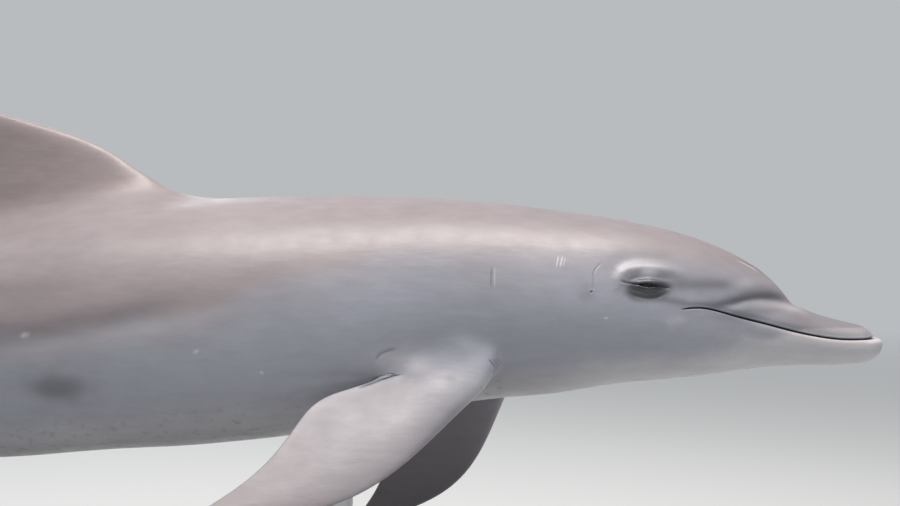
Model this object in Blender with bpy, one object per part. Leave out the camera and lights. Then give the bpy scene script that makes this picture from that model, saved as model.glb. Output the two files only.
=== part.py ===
"""Indo-Pacific bottlenose dolphin, life size, gliding level above a plain display stand.

Metres, +Z up, +X towards the head. The origin is the middle of the underside of the stand's base.
The body is one smooth form along X, parted by thin cuts into the pieces that a person would name.
Its left side faces +Y and its right side faces -Y.
"""

import math

import bmesh
import bpy
import numpy as np

GAP = 0.0003              # clearance between neighbouring pieces
RING_POINTS = 36          # points round each section of the body
BODY_STEP = 0.066         # longest distance between sections of the trunk and tail
HEAD_STEP = 0.027         # longest distance between sections of the head and beak
FIN_POINTS = 9            # points along each face of a fin's section
FIN_EDGE = 0.0016         # thickness of a fin's trailing edge

# Where the body is parted, from head to tail.
NECK_FRONT = 0.620
CHEST_FRONT = 0.500
ABDOMEN_FRONT = 0.140
TAIL_FRONT = -0.500
TAIL_END = -1.270

# The trunk, tail and cranium: (place along X, value) stations of one smooth form. Its front end lies
# inside the beak, and the crease between melon and beak is where the two forms meet.
BACK_LINE = (
    (TAIL_END, 0.412), (-1.150, 0.443), (-1.050, 0.467), (-0.900, 0.509), (-0.750, 0.556), (-0.600, 0.602),
    (-0.450, 0.646), (-0.300, 0.679), (-0.150, 0.702), (0.070, 0.717), (0.235, 0.720), (0.396, 0.713),
    (0.570, 0.694), (0.688, 0.675), (0.760, 0.657), (0.816, 0.636), (0.862, 0.611), (0.889, 0.590),
    (0.909, 0.568), (0.924, 0.548), (0.932, 0.536),
)
BELLY_LINE = (
    (TAIL_END, 0.371), (-1.150, 0.362), (-1.050, 0.354), (-0.900, 0.337), (-0.750, 0.316), (-0.600, 0.297),
    (-0.450, 0.289), (-0.300, 0.296), (-0.150, 0.310), (0.000, 0.321), (0.140, 0.337), (0.300, 0.368),
    (0.480, 0.402), (0.570, 0.411), (0.660, 0.426), (0.720, 0.432), (0.800, 0.445), (0.860, 0.468),
    (0.932, 0.512),
)
HALF_WIDTH = (
    (TAIL_END, 0.022), (-1.200, 0.030), (-1.100, 0.040), (-0.950, 0.062), (-0.750, 0.101), (-0.550, 0.140),
    (-0.350, 0.172), (-0.150, 0.186), (0.050, 0.190), (0.200, 0.186), (0.350, 0.175), (0.450, 0.163),
    (0.540, 0.148), (0.620, 0.132), (0.700, 0.114), (0.760, 0.098), (0.810, 0.081), (0.860, 0.061),
    (0.900, 0.043), (0.932, 0.026),
)
SECTION_POWER = ((TAIL_END, 1.75), (-0.900, 1.75), (-0.500, 1.95), (0.000, 2.10), (0.932, 2.10))
WIDEST_SHARE = ((TAIL_END, 0.50), (0.300, 0.48), (0.600, 0.45), (0.760, 0.42), (0.932, 0.42))

# The beak: both jaws as one form with a rounded tip, where the lower jaw reaches a little farther.
BEAK_BACK = 0.740
BEAK_TIP = 1.056
UPPER_JAW_SETBACK = 0.0075
BEAK_ROUNDING = 0.034
BEAK_TOP = (
    (BEAK_BACK, 0.574), (0.830, 0.570), (0.880, 0.562), (0.924, 0.549), (0.966, 0.533), (1.000, 0.524),
    (1.024, 0.5185), (BEAK_TIP, 0.513),
)
BEAK_BOTTOM = (
    (BEAK_BACK, 0.434), (0.804, 0.442), (0.850, 0.449), (0.921, 0.456), (0.996, 0.458), (1.024, 0.461),
    (BEAK_TIP, 0.464),
)
BEAK_HALF_WIDTH = (
    (BEAK_BACK, 0.089), (0.790, 0.079), (0.850, 0.066), (0.920, 0.054), (0.960, 0.047), (1.000, 0.042),
    (1.030, 0.0385), (BEAK_TIP, 0.036),
)
BEAK_POWER = 2.3
BEAK_WIDEST_SHARE = 0.5

# The mouth line runs from its corner on the cheek to past the tip, seen from the side.
MOUTH_LINE = (
    (0.751, 0.546), (0.768, 0.5475), (0.784, 0.5465), (0.800, 0.543), (0.824, 0.536), (0.878, 0.522),
    (0.913, 0.5125), (0.950, 0.5045), (0.985, 0.4998), (1.010, 0.4993), (1.040, 0.501), (1.080, 0.504),
)
# The upper jaw ends at a slanted plane that follows the crease, given by two points of it.
CREASE_TOP = (0.926, 0.556)
CREASE_FOOT = (0.860, 0.522)

EYE_RADIUS = 0.016
EYE_X = 0.698
EYE_Z = 0.581
EYE_DEPTH = 0.011         # how far the eye's centre lies inside the skin

# Fins: (place along the span, value) stations. The dorsal fin's span is a height and its edges are along X.
DORSAL_FOOT = 0.630
DORSAL_TIP = 0.886
DORSAL_LEAD = (
    (DORSAL_FOOT, 0.100), (0.700, 0.010), (0.7175, -0.038), (0.734, -0.070), (0.752, -0.098),
    (0.772, -0.130), (0.794, -0.164), (0.824, -0.232), (0.840, -0.284), (0.858, -0.348), (0.874, -0.408),
    (DORSAL_TIP, -0.452),
)
DORSAL_TRAIL = (
    (DORSAL_FOOT, -0.470), (0.660, -0.450), (0.690, -0.418), (0.740, -0.396), (0.800, -0.404),
    (0.850, -0.430), (DORSAL_TIP, -0.462),
)
DORSAL_THICKNESS = (
    (DORSAL_FOOT, 0.060), (0.700, 0.052), (0.760, 0.030), (0.830, 0.018), (DORSAL_TIP, 0.005),
)

# The flippers share one outline, along and across the line from the shoulder to the tip.
FLIPPER_ROOT = -0.115
FLIPPER_TIP = 0.395
FLIPPER_LEAD = (
    (FLIPPER_ROOT, 0.000), (-0.080, 0.029), (-0.050, 0.048), (0.000, 0.063), (0.070, 0.081), (0.150, 0.095),
    (0.200, 0.094), (0.240, 0.086), (0.284, 0.070), (0.332, 0.046), (0.372, 0.020), (FLIPPER_TIP, 0.003),
)
FLIPPER_TRAIL = (
    (FLIPPER_ROOT, -0.030), (0.000, -0.038), (0.073, -0.040), (0.130, -0.056), (0.165, -0.062),
    (0.190, -0.057), (0.224, -0.040), (0.268, -0.020), (0.310, -0.009), (0.363, -0.004),
    (FLIPPER_TIP, -0.003),
)
FLIPPER_THICKNESS = (
    (FLIPPER_ROOT, 0.040), (0.040, 0.034), (0.160, 0.023), (0.300, 0.011), (FLIPPER_TIP, 0.004),
)
# Each flipper's shoulder, and how it is held: splay is out from straight down, sweep is down from
# straight back, and twist turns the leading edge inwards.
FLIPPERS = {
    "flipper_right": {"side": -1, "shoulder": (0.400, -0.155, 0.452), "splay": 38, "sweep": 36, "twist": 0},
    "flipper_left": {"side": 1, "shoulder": (0.427, 0.155, 0.424), "splay": 23.5, "sweep": 54, "twist": 11},
}

# A fluke's span is its distance from the midline. Its edges are along X.
FLUKE_SPAN = 0.300
FLUKE_LEAD = (
    (0.000, -1.155), (0.035, -1.168), (0.080, -1.190), (0.150, -1.235), (0.220, -1.290), (0.270, -1.337),
    (FLUKE_SPAN, -1.380),
)
FLUKE_TRAIL = (
    (0.000, -1.334), (0.012, -1.346), (0.035, -1.357), (0.080, -1.363), (0.150, -1.362), (0.220, -1.366),
    (0.270, -1.377), (FLUKE_SPAN, -1.392),
)
FLUKE_THICKNESS = ((0.000, 0.036), (0.060, 0.028), (0.150, 0.018), (0.250, 0.009), (FLUKE_SPAN, 0.004))
FLUKE_HEIGHT = 0.4025     # height of the flukes' plane at their leading edge's root
FLUKE_SLOPE = 0.080       # how steeply that plane falls towards the tail's end
FLUKE_DROOP = 0.010       # how far the tips hang below the plane

# The stand.
BASE_LENGTH = 1.300
BASE_WIDTH = 0.500
BASE_THICKNESS = 0.030
BASE_CORNER = 0.060
BASE_BEVEL = 0.003
ROD_RADIUS = 0.019
ROD_SIDES = 24
ROD_INSERTION = 0.040     # length of rod inside the body
RODS = {"front": 0.220, "rear": -0.420}
FLANGE_RADIUS = 0.060
FLANGE_THICKNESS = 0.010
COLLAR_RADIUS = 0.027
COLLAR_HEIGHT = 0.030


def spline(points):
    """A natural cubic spline through the points, as a function."""
    x, y = np.array(points, float).T
    step = np.diff(x)
    system = np.eye(len(x))
    change = np.zeros(len(x))
    for i in range(1, len(x) - 1):
        system[i, i - 1:i + 2] = step[i - 1], 2 * (step[i - 1] + step[i]), step[i]
        change[i] = 6 * ((y[i + 1] - y[i]) / step[i] - (y[i] - y[i - 1]) / step[i - 1])
    bend = np.linalg.solve(system, change)

    def value(at):
        i = int(np.clip(np.searchsorted(x, at) - 1, 0, len(step) - 1))
        past, left = at - x[i], x[i + 1] - at
        curve = (bend[i] * left**3 + bend[i + 1] * past**3) / (6 * step[i])
        line = (y[i] * left + y[i + 1] * past) / step[i]
        return curve + line - step[i] * (bend[i] * left + bend[i + 1] * past) / 6

    return value


def steady(amount):
    """A function that always gives the same amount."""
    return lambda at: amount


TRUNK = {
    "top": spline(BACK_LINE),
    "bottom": spline(BELLY_LINE),
    "half_width": spline(HALF_WIDTH),
    "power": spline(SECTION_POWER),
    "widest": spline(WIDEST_SHARE),
    "tip": None,
}
LOWER_BEAK = {
    "top": spline(BEAK_TOP),
    "bottom": spline(BEAK_BOTTOM),
    "half_width": spline(BEAK_HALF_WIDTH),
    "power": steady(BEAK_POWER),
    "widest": steady(BEAK_WIDEST_SHARE),
    "tip": BEAK_TIP,
}
UPPER_BEAK = dict(LOWER_BEAK, tip=BEAK_TIP - UPPER_JAW_SETBACK)


def clear_scene():
    for obj in list(bpy.data.objects):
        bpy.data.objects.remove(obj, do_unlink=True)


def finish(name, colour, roughness, metallic=0.0):
    material = bpy.data.materials.new(name)
    material.use_nodes = True
    shader = material.node_tree.nodes["Principled BSDF"]
    shader.inputs["Base Color"].default_value = (*colour, 1.0)
    shader.inputs["Roughness"].default_value = roughness
    shader.inputs["Metallic"].default_value = metallic
    return material


def mesh_object(name, bm, material):
    """Makes the bmesh a smooth-shaded object whose faces point outwards."""
    bmesh.ops.recalc_face_normals(bm, faces=bm.faces)
    mesh = bpy.data.meshes.new(name)
    bm.to_mesh(mesh)
    bm.free()
    obj = bpy.data.objects.new(name, mesh)
    bpy.context.scene.collection.objects.link(obj)
    obj.data.materials.append(material)
    mesh.shade_smooth()
    mesh.set_sharp_from_angle(angle=math.radians(40))
    return obj


def cutter(obj):
    """Keeps an object for shaping others only."""
    obj.hide_render = True
    obj.display_type = "WIRE"
    return obj


def shape(obj, other, operation):
    """Joins, cuts or trims an object with another one."""
    modifier = obj.modifiers.new(f"{operation.lower()} {other.name}", "BOOLEAN")
    modifier.operation = operation
    modifier.solver = "EXACT"
    modifier.object = other


def bridge(rings):
    """A closed bmesh through rings of points, with a flat cap on each end ring."""
    bm = bmesh.new()
    loops = [[bm.verts.new(point) for point in ring] for ring in rings]
    for near, far in zip(loops, loops[1:]):
        for k in range(len(near)):
            bm.faces.new((near[k - 1], near[k], far[k], far[k - 1]))
    bm.faces.new(loops[0])
    bm.faces.new(reversed(loops[-1]))
    return bm


def body_section(form, x, grow):
    """One ring of the body at X: an oval of four superellipse quarters."""
    rounding = 1.0
    if form["tip"] is not None:
        past = x - (form["tip"] - BEAK_ROUNDING)
        rounding = math.sqrt(1 - max(past / BEAK_ROUNDING, 0.0) ** 2)
    top, bottom = form["top"](x), form["bottom"](x)
    middle = bottom + form["widest"](x) * (top - bottom)
    above = (top - middle) * rounding + grow
    below = (middle - bottom) * rounding + grow
    across = form["half_width"](x) * rounding + grow
    power = 2 / form["power"](x)
    ring = []
    for k in range(RING_POINTS):
        angle = 2 * math.pi * k / RING_POINTS
        out, up = math.cos(angle), math.sin(angle)
        height = above if up > 0 else below
        ring.append((
            x,
            across * math.copysign(abs(out) ** power, out),
            middle + height * math.copysign(abs(up) ** power, up),
        ))
    return ring


def body_length(form, back, front, step, grow=0.0):
    """A length of the body between two places along X, closed by flat ends."""
    count = math.ceil((front - back) / step)
    places = list(np.linspace(back, front, count + 1))
    if form["tip"] is not None:
        round_start = form["tip"] - BEAK_ROUNDING
        places = [x for x in places if x < round_start - step / 2]
        turn = np.radians((0, 20, 38, 54, 67, 77, 84))
        places += [round_start + BEAK_ROUNDING * math.sin(angle) for angle in turn]
    return bridge([body_section(form, x, grow) for x in places])


def side_prism(outline, half_width=0.2):
    """A flat outline in the XZ plane, extruded across the body."""
    return bridge([[(x, y, z) for x, z in outline] for y in (-half_width, half_width)])


def below_mouth(offset):
    """The space under the mouth line and in front of its corner, moved in or out by the offset."""
    corner, end = MOUTH_LINE[0][0], MOUTH_LINE[-1][0]
    height = spline(MOUTH_LINE)
    line = [(x, height(x) + offset) for x in np.linspace(corner, end, 13)]
    line[0] = (corner - offset, line[0][1])
    return side_prism(line + [(end, 0.40), (corner - offset, 0.40)])


def before_crease(offset):
    """The space under and in front of the melon's crease plane, moved in or out by the offset."""
    top, foot = np.array(CREASE_TOP), np.array(CREASE_FOOT)
    along = (top - foot) / np.linalg.norm(top - foot)
    shift = offset * np.array((-along[1], along[0]))
    low, high = foot - 0.05 * along + shift, top + 0.20 * along + shift
    return side_prism([tuple(low), tuple(high), (1.2, 0.40), (low[0], 0.40)])


def foil(thickness):
    """A fin's section as (share of the chord, height) points: a rounded front and a thin trailing edge."""
    shares = (1 - np.cos(np.linspace(0, math.pi, FIN_POINTS + 1))) / 2
    halves = 5 * thickness * (
        0.2969 * np.sqrt(shares) - 0.126 * shares - 0.3516 * shares**2
        + 0.2843 * shares**3 - 0.1036 * shares**4
    )
    halves[1:] = np.maximum(halves[1:], FIN_EDGE / 2)
    upper = list(zip(shares, halves))
    return upper + [(share, -half) for share, half in reversed(upper[1:])]


def fin(lead, trail, thickness, spans, place):
    """A closed fin. place turns (span, chord, height) of a point into where it is in the world."""
    rings = []
    for span in spans:
        front, back = lead(span), trail(span)
        section = foil(thickness(span))
        rings.append([place(span, front + share * (back - front), height) for share, height in section])
    return bridge(rings)


def span_places(root, tip, count):
    """Places along a fin's span, closer together towards the tip."""
    return root + (tip - root) * np.sin(np.linspace(0, math.pi / 2, count + 1))


def flipper_place(hold):
    """Turns a flipper's own coordinates into the world's, from how it is held."""
    splay, sweep, twist = (math.radians(hold[key]) for key in ("splay", "sweep", "twist"))
    forward = np.array((1.0, 0.0, 0.0))
    down = np.array((0.0, hold["side"] * math.sin(splay), -math.cos(splay)))
    outwards = hold["side"] * np.cross(forward, down)
    along = down * math.sin(sweep) - forward * math.cos(sweep)
    across = forward * math.sin(sweep) + down * math.cos(sweep)
    across, face = (
        across * math.cos(twist) - outwards * math.sin(twist),
        outwards * math.cos(twist) + across * math.sin(twist),
    )
    shoulder = np.array(hold["shoulder"])
    return lambda span, chord, height: tuple(shoulder + span * along + chord * across + height * face)


def add_trunk(flesh, pale):
    for name, back, front, material in (
        ("neck", CHEST_FRONT, NECK_FRONT, flesh),
        ("chest", ABDOMEN_FRONT, CHEST_FRONT, flesh),
        ("abdomen", TAIL_FRONT, ABDOMEN_FRONT, pale),
        ("tail_stock", TAIL_END, TAIL_FRONT, flesh),
    ):
        start = back if back == TAIL_END else back + GAP / 2
        mesh_object(name, body_length(TRUNK, start, front - GAP / 2, BODY_STEP), material)


def add_head(flesh, pale, eye_finish):
    """The head with the melon, the two jaws parted by the mouth, and the eyes in their sockets."""
    upper, lower = (
        cutter(mesh_object(name, body_length(form, BEAK_BACK, form["tip"], HEAD_STEP), flesh))
        for name, form in (("upper_beak", UPPER_BEAK), ("lower_beak", LOWER_BEAK))
    )
    inside = cutter(mesh_object("below_mouth_inner", below_mouth(-GAP / 2), pale))
    outside = cutter(mesh_object("below_mouth_outer", below_mouth(GAP / 2), pale))
    ahead_inner = cutter(mesh_object("before_crease_inner", before_crease(-GAP / 2), pale))
    ahead_outer = cutter(mesh_object("before_crease_outer", before_crease(GAP / 2), pale))
    front = BACK_LINE[-1][0]
    pieces = {}
    jaws = (("head", upper, flesh), ("upper_jaw", upper, flesh), ("lower_jaw", lower, pale))
    for name, beak, material in jaws:
        cranium = body_length(TRUNK, NECK_FRONT + GAP / 2, front, HEAD_STEP)
        pieces[name] = mesh_object(name, cranium, material)
        shape(pieces[name], beak, "UNION")
    shape(pieces["head"], outside, "DIFFERENCE")
    shape(pieces["head"], ahead_outer, "DIFFERENCE")
    shape(pieces["upper_jaw"], outside, "DIFFERENCE")
    shape(pieces["upper_jaw"], ahead_inner, "INTERSECT")
    shape(pieces["lower_jaw"], inside, "INTERSECT")
    for side, label in ((1, "left"), (-1, "right")):
        centre = (EYE_X, side * (skin_half_width(EYE_X, EYE_Z) - EYE_DEPTH), EYE_Z)
        socket = cutter(eyeball(f"socket_{label}", centre, EYE_RADIUS + GAP, eye_finish))
        shape(pieces["head"], socket, "DIFFERENCE")
        eyeball(f"eye_{label}", centre, EYE_RADIUS, eye_finish)


def skin_half_width(x, z):
    """The trunk's half width at a place along X and a height."""
    top, bottom = TRUNK["top"](x), TRUNK["bottom"](x)
    middle = bottom + TRUNK["widest"](x) * (top - bottom)
    reach = top - middle if z > middle else middle - bottom
    power = TRUNK["power"](x)
    return TRUNK["half_width"](x) * (1 - (abs(z - middle) / reach) ** power) ** (1 / power)


def eyeball(name, centre, radius, material):
    bm = bmesh.new()
    bmesh.ops.create_icosphere(bm, subdivisions=2, radius=radius)
    obj = mesh_object(name, bm, material)
    obj.location = centre
    return obj


def add_dorsal_fin(flesh, trunk):
    spans = span_places(DORSAL_FOOT, DORSAL_TIP, 14)
    bm = fin(
        spline(DORSAL_LEAD), spline(DORSAL_TRAIL), spline(DORSAL_THICKNESS), spans,
        lambda span, chord, height: (chord, height, span),
    )
    shape(mesh_object("dorsal_fin", bm, flesh), trunk, "DIFFERENCE")


def add_flippers(flesh, trunk):
    lead, trail, thickness = spline(FLIPPER_LEAD), spline(FLIPPER_TRAIL), spline(FLIPPER_THICKNESS)
    for name, hold in FLIPPERS.items():
        bm = fin(lead, trail, thickness, span_places(FLIPPER_ROOT, FLIPPER_TIP, 16), flipper_place(hold))
        shape(mesh_object(name, bm, flesh), trunk, "DIFFERENCE")


def add_flukes(flesh, trunk):
    """The two tail fins, which meet behind the tail stock's end."""
    def height_at(span, chord):
        fall = FLUKE_SLOPE * (FLUKE_LEAD[0][1] - chord) + FLUKE_DROOP * (span / FLUKE_SPAN) ** 2
        return FLUKE_HEIGHT - fall

    lead, trail, thickness = spline(FLUKE_LEAD), spline(FLUKE_TRAIL), spline(FLUKE_THICKNESS)
    for side, label in ((1, "left"), (-1, "right")):
        bm = fin(
            lead, trail, thickness, span_places(GAP / 2, FLUKE_SPAN, 14),
            lambda span, chord, height: (chord, side * span, height_at(span, chord) + height),
        )
        shape(mesh_object(f"fluke_{label}", bm, flesh), trunk, "DIFFERENCE")


def rounded_plate(length, width, corner, sides=8):
    """The outline of a plate with round corners, as (x, y) points."""
    outline = []
    for turn, (x, y) in enumerate(((1, 1), (-1, 1), (-1, -1), (1, -1))):
        for step in range(sides + 1):
            angle = math.radians(90) * (turn + step / sides)
            outline.append((
                x * (length / 2 - corner) + corner * math.cos(angle),
                y * (width / 2 - corner) + corner * math.sin(angle),
            ))
    return outline


def disc(name, x, bottom, top, radius, material, hole=None):
    """An upright cylinder on the midline, with a hole along its axis if one is given."""
    bm = bmesh.new()
    rings = [(radius, bottom), (radius, top)]
    if hole is not None:
        rings += [(hole, top), (hole, bottom)]
    loops = []
    for around, height in rings:
        angles = [2 * math.pi * k / ROD_SIDES for k in range(ROD_SIDES)]
        loops.append([bm.verts.new((around * math.cos(a), around * math.sin(a), height)) for a in angles])
    pairs = list(zip(loops, loops[1:])) + ([(loops[-1], loops[0])] if hole is not None else [])
    for near, far in pairs:
        for k in range(ROD_SIDES):
            bm.faces.new((near[k - 1], near[k], far[k], far[k - 1]))
    if hole is None:
        bm.faces.new(loops[0])
        bm.faces.new(reversed(loops[-1]))
    obj = mesh_object(name, bm, material)
    obj.location.x = x
    return obj


def add_stand(painted, steel):
    """The base, and two rods that stand in flanges and run up into the body."""
    outline = rounded_plate(BASE_LENGTH, BASE_WIDTH, BASE_CORNER)
    trim = 2 * BASE_BEVEL
    inset = rounded_plate(BASE_LENGTH - trim, BASE_WIDTH - trim, BASE_CORNER - BASE_BEVEL)
    base = mesh_object("stand_base", bridge([
        [(x, y, 0.0) for x, y in outline],
        [(x, y, BASE_THICKNESS - BASE_BEVEL) for x, y in outline],
        [(x, y, BASE_THICKNESS) for x, y in inset],
    ]), painted)
    holders = {"front": bpy.data.objects["chest"], "rear": bpy.data.objects["abdomen"]}
    for label, x in RODS.items():
        foot = BASE_THICKNESS / 2
        belly = TRUNK["bottom"](x)
        top = belly + ROD_INSERTION
        disc(f"stand_rod_{label}", x, foot, top, ROD_RADIUS, steel)
        hole = cutter(disc(f"hole_{label}", x, foot - GAP, top + GAP, ROD_RADIUS + GAP, steel))
        shape(base, hole, "DIFFERENCE")
        shape(holders[label], hole, "DIFFERENCE")
        flange_foot = BASE_THICKNESS + GAP
        collar_foot = flange_foot + FLANGE_THICKNESS + GAP
        bore = ROD_RADIUS + GAP
        disc(f"stand_flange_{label}", x, flange_foot, collar_foot - GAP, FLANGE_RADIUS, steel, bore)
        disc(f"stand_collar_{label}", x, collar_foot, collar_foot + COLLAR_HEIGHT, COLLAR_RADIUS, steel, bore)


def main():
    clear_scene()
    flesh = finish("slate_skin", (0.30, 0.31, 0.34), 0.35)
    pale = finish("pale_skin", (0.48, 0.48, 0.50), 0.35)
    eye_finish = finish("eye", (0.015, 0.012, 0.012), 0.05)
    painted = finish("matt_black_paint", (0.03, 0.03, 0.032), 0.55)
    steel = finish("brushed_steel", (0.55, 0.56, 0.58), 0.30, 1.0)
    add_trunk(flesh, pale)
    add_head(flesh, pale, eye_finish)
    grown = body_length(TRUNK, TAIL_END, NECK_FRONT, BODY_STEP, GAP)
    trunk = cutter(mesh_object("trunk_clearance", grown, flesh))
    add_dorsal_fin(flesh, trunk)
    add_flippers(flesh, trunk)
    add_flukes(flesh, trunk)
    add_stand(painted, steel)


main()
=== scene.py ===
# The looks of the life-size bottlenose dolphin: one unbroken skin with its folds, its marks and the shade and
# highlights painted into its colours, the eyes, the finish of the stand, and the studio. Metres, +Z up, +X
# towards the head, left side towards +Y.

import math

import bmesh
import bpy
import numpy as np
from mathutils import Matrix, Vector


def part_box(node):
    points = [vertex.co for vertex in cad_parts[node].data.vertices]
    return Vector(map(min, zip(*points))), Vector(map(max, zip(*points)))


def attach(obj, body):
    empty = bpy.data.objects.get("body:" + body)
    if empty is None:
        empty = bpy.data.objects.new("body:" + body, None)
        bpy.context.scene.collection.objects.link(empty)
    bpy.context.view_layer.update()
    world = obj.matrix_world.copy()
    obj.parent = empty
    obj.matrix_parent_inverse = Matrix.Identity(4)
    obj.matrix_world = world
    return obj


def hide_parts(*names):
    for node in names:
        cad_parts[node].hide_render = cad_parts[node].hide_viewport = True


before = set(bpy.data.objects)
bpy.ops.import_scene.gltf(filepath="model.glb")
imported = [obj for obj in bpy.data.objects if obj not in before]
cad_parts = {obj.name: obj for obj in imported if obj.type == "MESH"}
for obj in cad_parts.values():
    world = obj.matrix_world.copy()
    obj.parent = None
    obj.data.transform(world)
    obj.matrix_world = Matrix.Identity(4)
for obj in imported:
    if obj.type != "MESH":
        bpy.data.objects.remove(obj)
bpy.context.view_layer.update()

SIDES = {"left": 1, "right": -1}

# ---- The body's form, as the solids have it

TAIL_END = -1.340
BACK_LINE = (
    (TAIL_END, 0.391), (-1.270, 0.412), (-1.150, 0.443), (-1.050, 0.467), (-0.900, 0.509), (-0.750, 0.556),
    (-0.600, 0.602), (-0.450, 0.646), (-0.300, 0.679), (-0.150, 0.702), (0.070, 0.717), (0.235, 0.720),
    (0.396, 0.713), (0.570, 0.694), (0.688, 0.675), (0.760, 0.657), (0.816, 0.636), (0.862, 0.611),
    (0.889, 0.590), (0.909, 0.568), (0.924, 0.548), (0.932, 0.536),
)
BELLY_LINE = (
    (TAIL_END, 0.379), (-1.270, 0.371), (-1.150, 0.362), (-1.050, 0.354), (-0.900, 0.337), (-0.750, 0.316),
    (-0.600, 0.297), (-0.450, 0.289), (-0.300, 0.296), (-0.150, 0.310), (0.000, 0.321), (0.140, 0.337),
    (0.300, 0.368), (0.480, 0.402), (0.570, 0.411), (0.660, 0.426), (0.720, 0.432), (0.800, 0.445),
    (0.860, 0.468), (0.932, 0.512),
)
HALF_WIDTH = (
    (TAIL_END, 0.010), (-1.270, 0.022), (-1.200, 0.030), (-1.100, 0.040), (-0.950, 0.062), (-0.750, 0.101),
    (-0.550, 0.140), (-0.350, 0.172), (-0.150, 0.186), (0.050, 0.190), (0.200, 0.186), (0.350, 0.175),
    (0.450, 0.163), (0.540, 0.148), (0.620, 0.132), (0.700, 0.114), (0.760, 0.098), (0.810, 0.081),
    (0.860, 0.061), (0.900, 0.043), (0.932, 0.026),
)
SECTION_POWER = ((TAIL_END, 1.75), (-0.900, 1.75), (-0.500, 1.95), (0.000, 2.10), (0.932, 2.10))
WIDEST_SHARE = ((TAIL_END, 0.50), (0.300, 0.48), (0.600, 0.45), (0.760, 0.42), (0.932, 0.42))

BEAK_BACK = 0.740
BEAK_TIP = 1.056
UPPER_JAW_SETBACK = 0.0075
BEAK_ROUNDING = 0.030
BEAK_TOP = (
    (BEAK_BACK, 0.574), (0.830, 0.570), (0.880, 0.562), (0.924, 0.549), (0.966, 0.533), (1.000, 0.524),
    (1.024, 0.5185), (BEAK_TIP, 0.513),
)
BEAK_BOTTOM = (
    (BEAK_BACK, 0.434), (0.804, 0.442), (0.850, 0.449), (0.921, 0.456), (0.996, 0.458), (1.024, 0.461),
    (BEAK_TIP, 0.464),
)
BEAK_HALF_WIDTH = (
    (BEAK_BACK, 0.089), (0.790, 0.079), (0.850, 0.066), (0.920, 0.054), (0.960, 0.047), (1.000, 0.042),
    (1.030, 0.0385), (BEAK_TIP, 0.036),
)
BEAK_POWER = 2.3
BEAK_WIDEST_SHARE = 0.5
MOUTH_LINE = (
    (0.751, 0.546), (0.768, 0.5475), (0.784, 0.5465), (0.800, 0.543), (0.824, 0.536), (0.878, 0.522),
    (0.913, 0.5125), (0.950, 0.5045), (0.985, 0.4998), (1.010, 0.4993), (1.040, 0.501), (1.080, 0.504),
)

EYE_RADIUS = 0.016
EYE_X = 0.698
EYE_Z = 0.581
EYE_DEPTH = 0.011

# Fins: (place along the span, value) stations. The dorsal fin's span is a height and its edges are along X.
DORSAL_FOOT = 0.630
DORSAL_TIP = 0.886
DORSAL_LEAD = (
    (DORSAL_FOOT, 0.100), (0.700, 0.010), (0.7175, -0.038), (0.734, -0.070), (0.752, -0.098),
    (0.772, -0.130), (0.794, -0.164), (0.824, -0.232), (0.840, -0.284), (0.858, -0.348), (0.874, -0.408),
    (DORSAL_TIP, -0.452),
)
DORSAL_TRAIL = (
    (DORSAL_FOOT, -0.470), (0.660, -0.450), (0.690, -0.418), (0.740, -0.396), (0.800, -0.404),
    (0.850, -0.430), (DORSAL_TIP, -0.462),
)
DORSAL_THICKNESS = (
    (DORSAL_FOOT, 0.060), (0.700, 0.052), (0.760, 0.030), (0.830, 0.018), (DORSAL_TIP, 0.005),
)
FLIPPER_ROOT = -0.115
FLIPPER_TIP = 0.395
FLIPPER_LEAD = (
    (FLIPPER_ROOT, 0.000), (-0.080, 0.029), (-0.050, 0.048), (0.000, 0.063), (0.070, 0.081), (0.150, 0.095),
    (0.200, 0.094), (0.240, 0.086), (0.284, 0.070), (0.332, 0.046), (0.372, 0.020), (FLIPPER_TIP, 0.003),
)
FLIPPER_TRAIL = (
    (FLIPPER_ROOT, -0.030), (0.000, -0.038), (0.073, -0.040), (0.130, -0.056), (0.165, -0.062),
    (0.190, -0.057), (0.224, -0.040), (0.268, -0.020), (0.310, -0.009), (0.363, -0.004),
    (FLIPPER_TIP, -0.003),
)
FLIPPER_THICKNESS = (
    (FLIPPER_ROOT, 0.040), (0.040, 0.034), (0.160, 0.023), (0.300, 0.011), (FLIPPER_TIP, 0.004),
)
FLIPPERS = {
    "flipper_right": {"side": -1, "shoulder": (0.400, -0.155, 0.452), "splay": 38, "sweep": 36, "twist": 0},
    "flipper_left": {"side": 1, "shoulder": (0.427, 0.155, 0.424), "splay": 23.5, "sweep": 54, "twist": 11},
}
FLUKE_ROOT = -0.020  # past the midline, so that the two flukes share one rim in the notch
FLUKE_SPAN = 0.300
FLUKE_LEAD = (
    (0.000, -1.155), (0.035, -1.168), (0.080, -1.190), (0.150, -1.235), (0.220, -1.290), (0.270, -1.337),
    (FLUKE_SPAN, -1.384),
)
FLUKE_TRAIL = (
    (0.000, -1.338), (0.005, -1.341), (0.014, -1.348), (0.035, -1.357), (0.080, -1.363), (0.150, -1.362),
    (0.220, -1.366), (0.270, -1.377), (FLUKE_SPAN, -1.390),
)
FLUKE_THICKNESS = ((0.000, 0.036), (0.060, 0.028), (0.150, 0.018), (0.250, 0.009), (FLUKE_SPAN, 0.004))
FLUKE_HEIGHT = 0.4025
FLUKE_SLOPE = 0.080
FLUKE_DROOP = 0.010

# ---- Sizes of the skin's own detail

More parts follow.
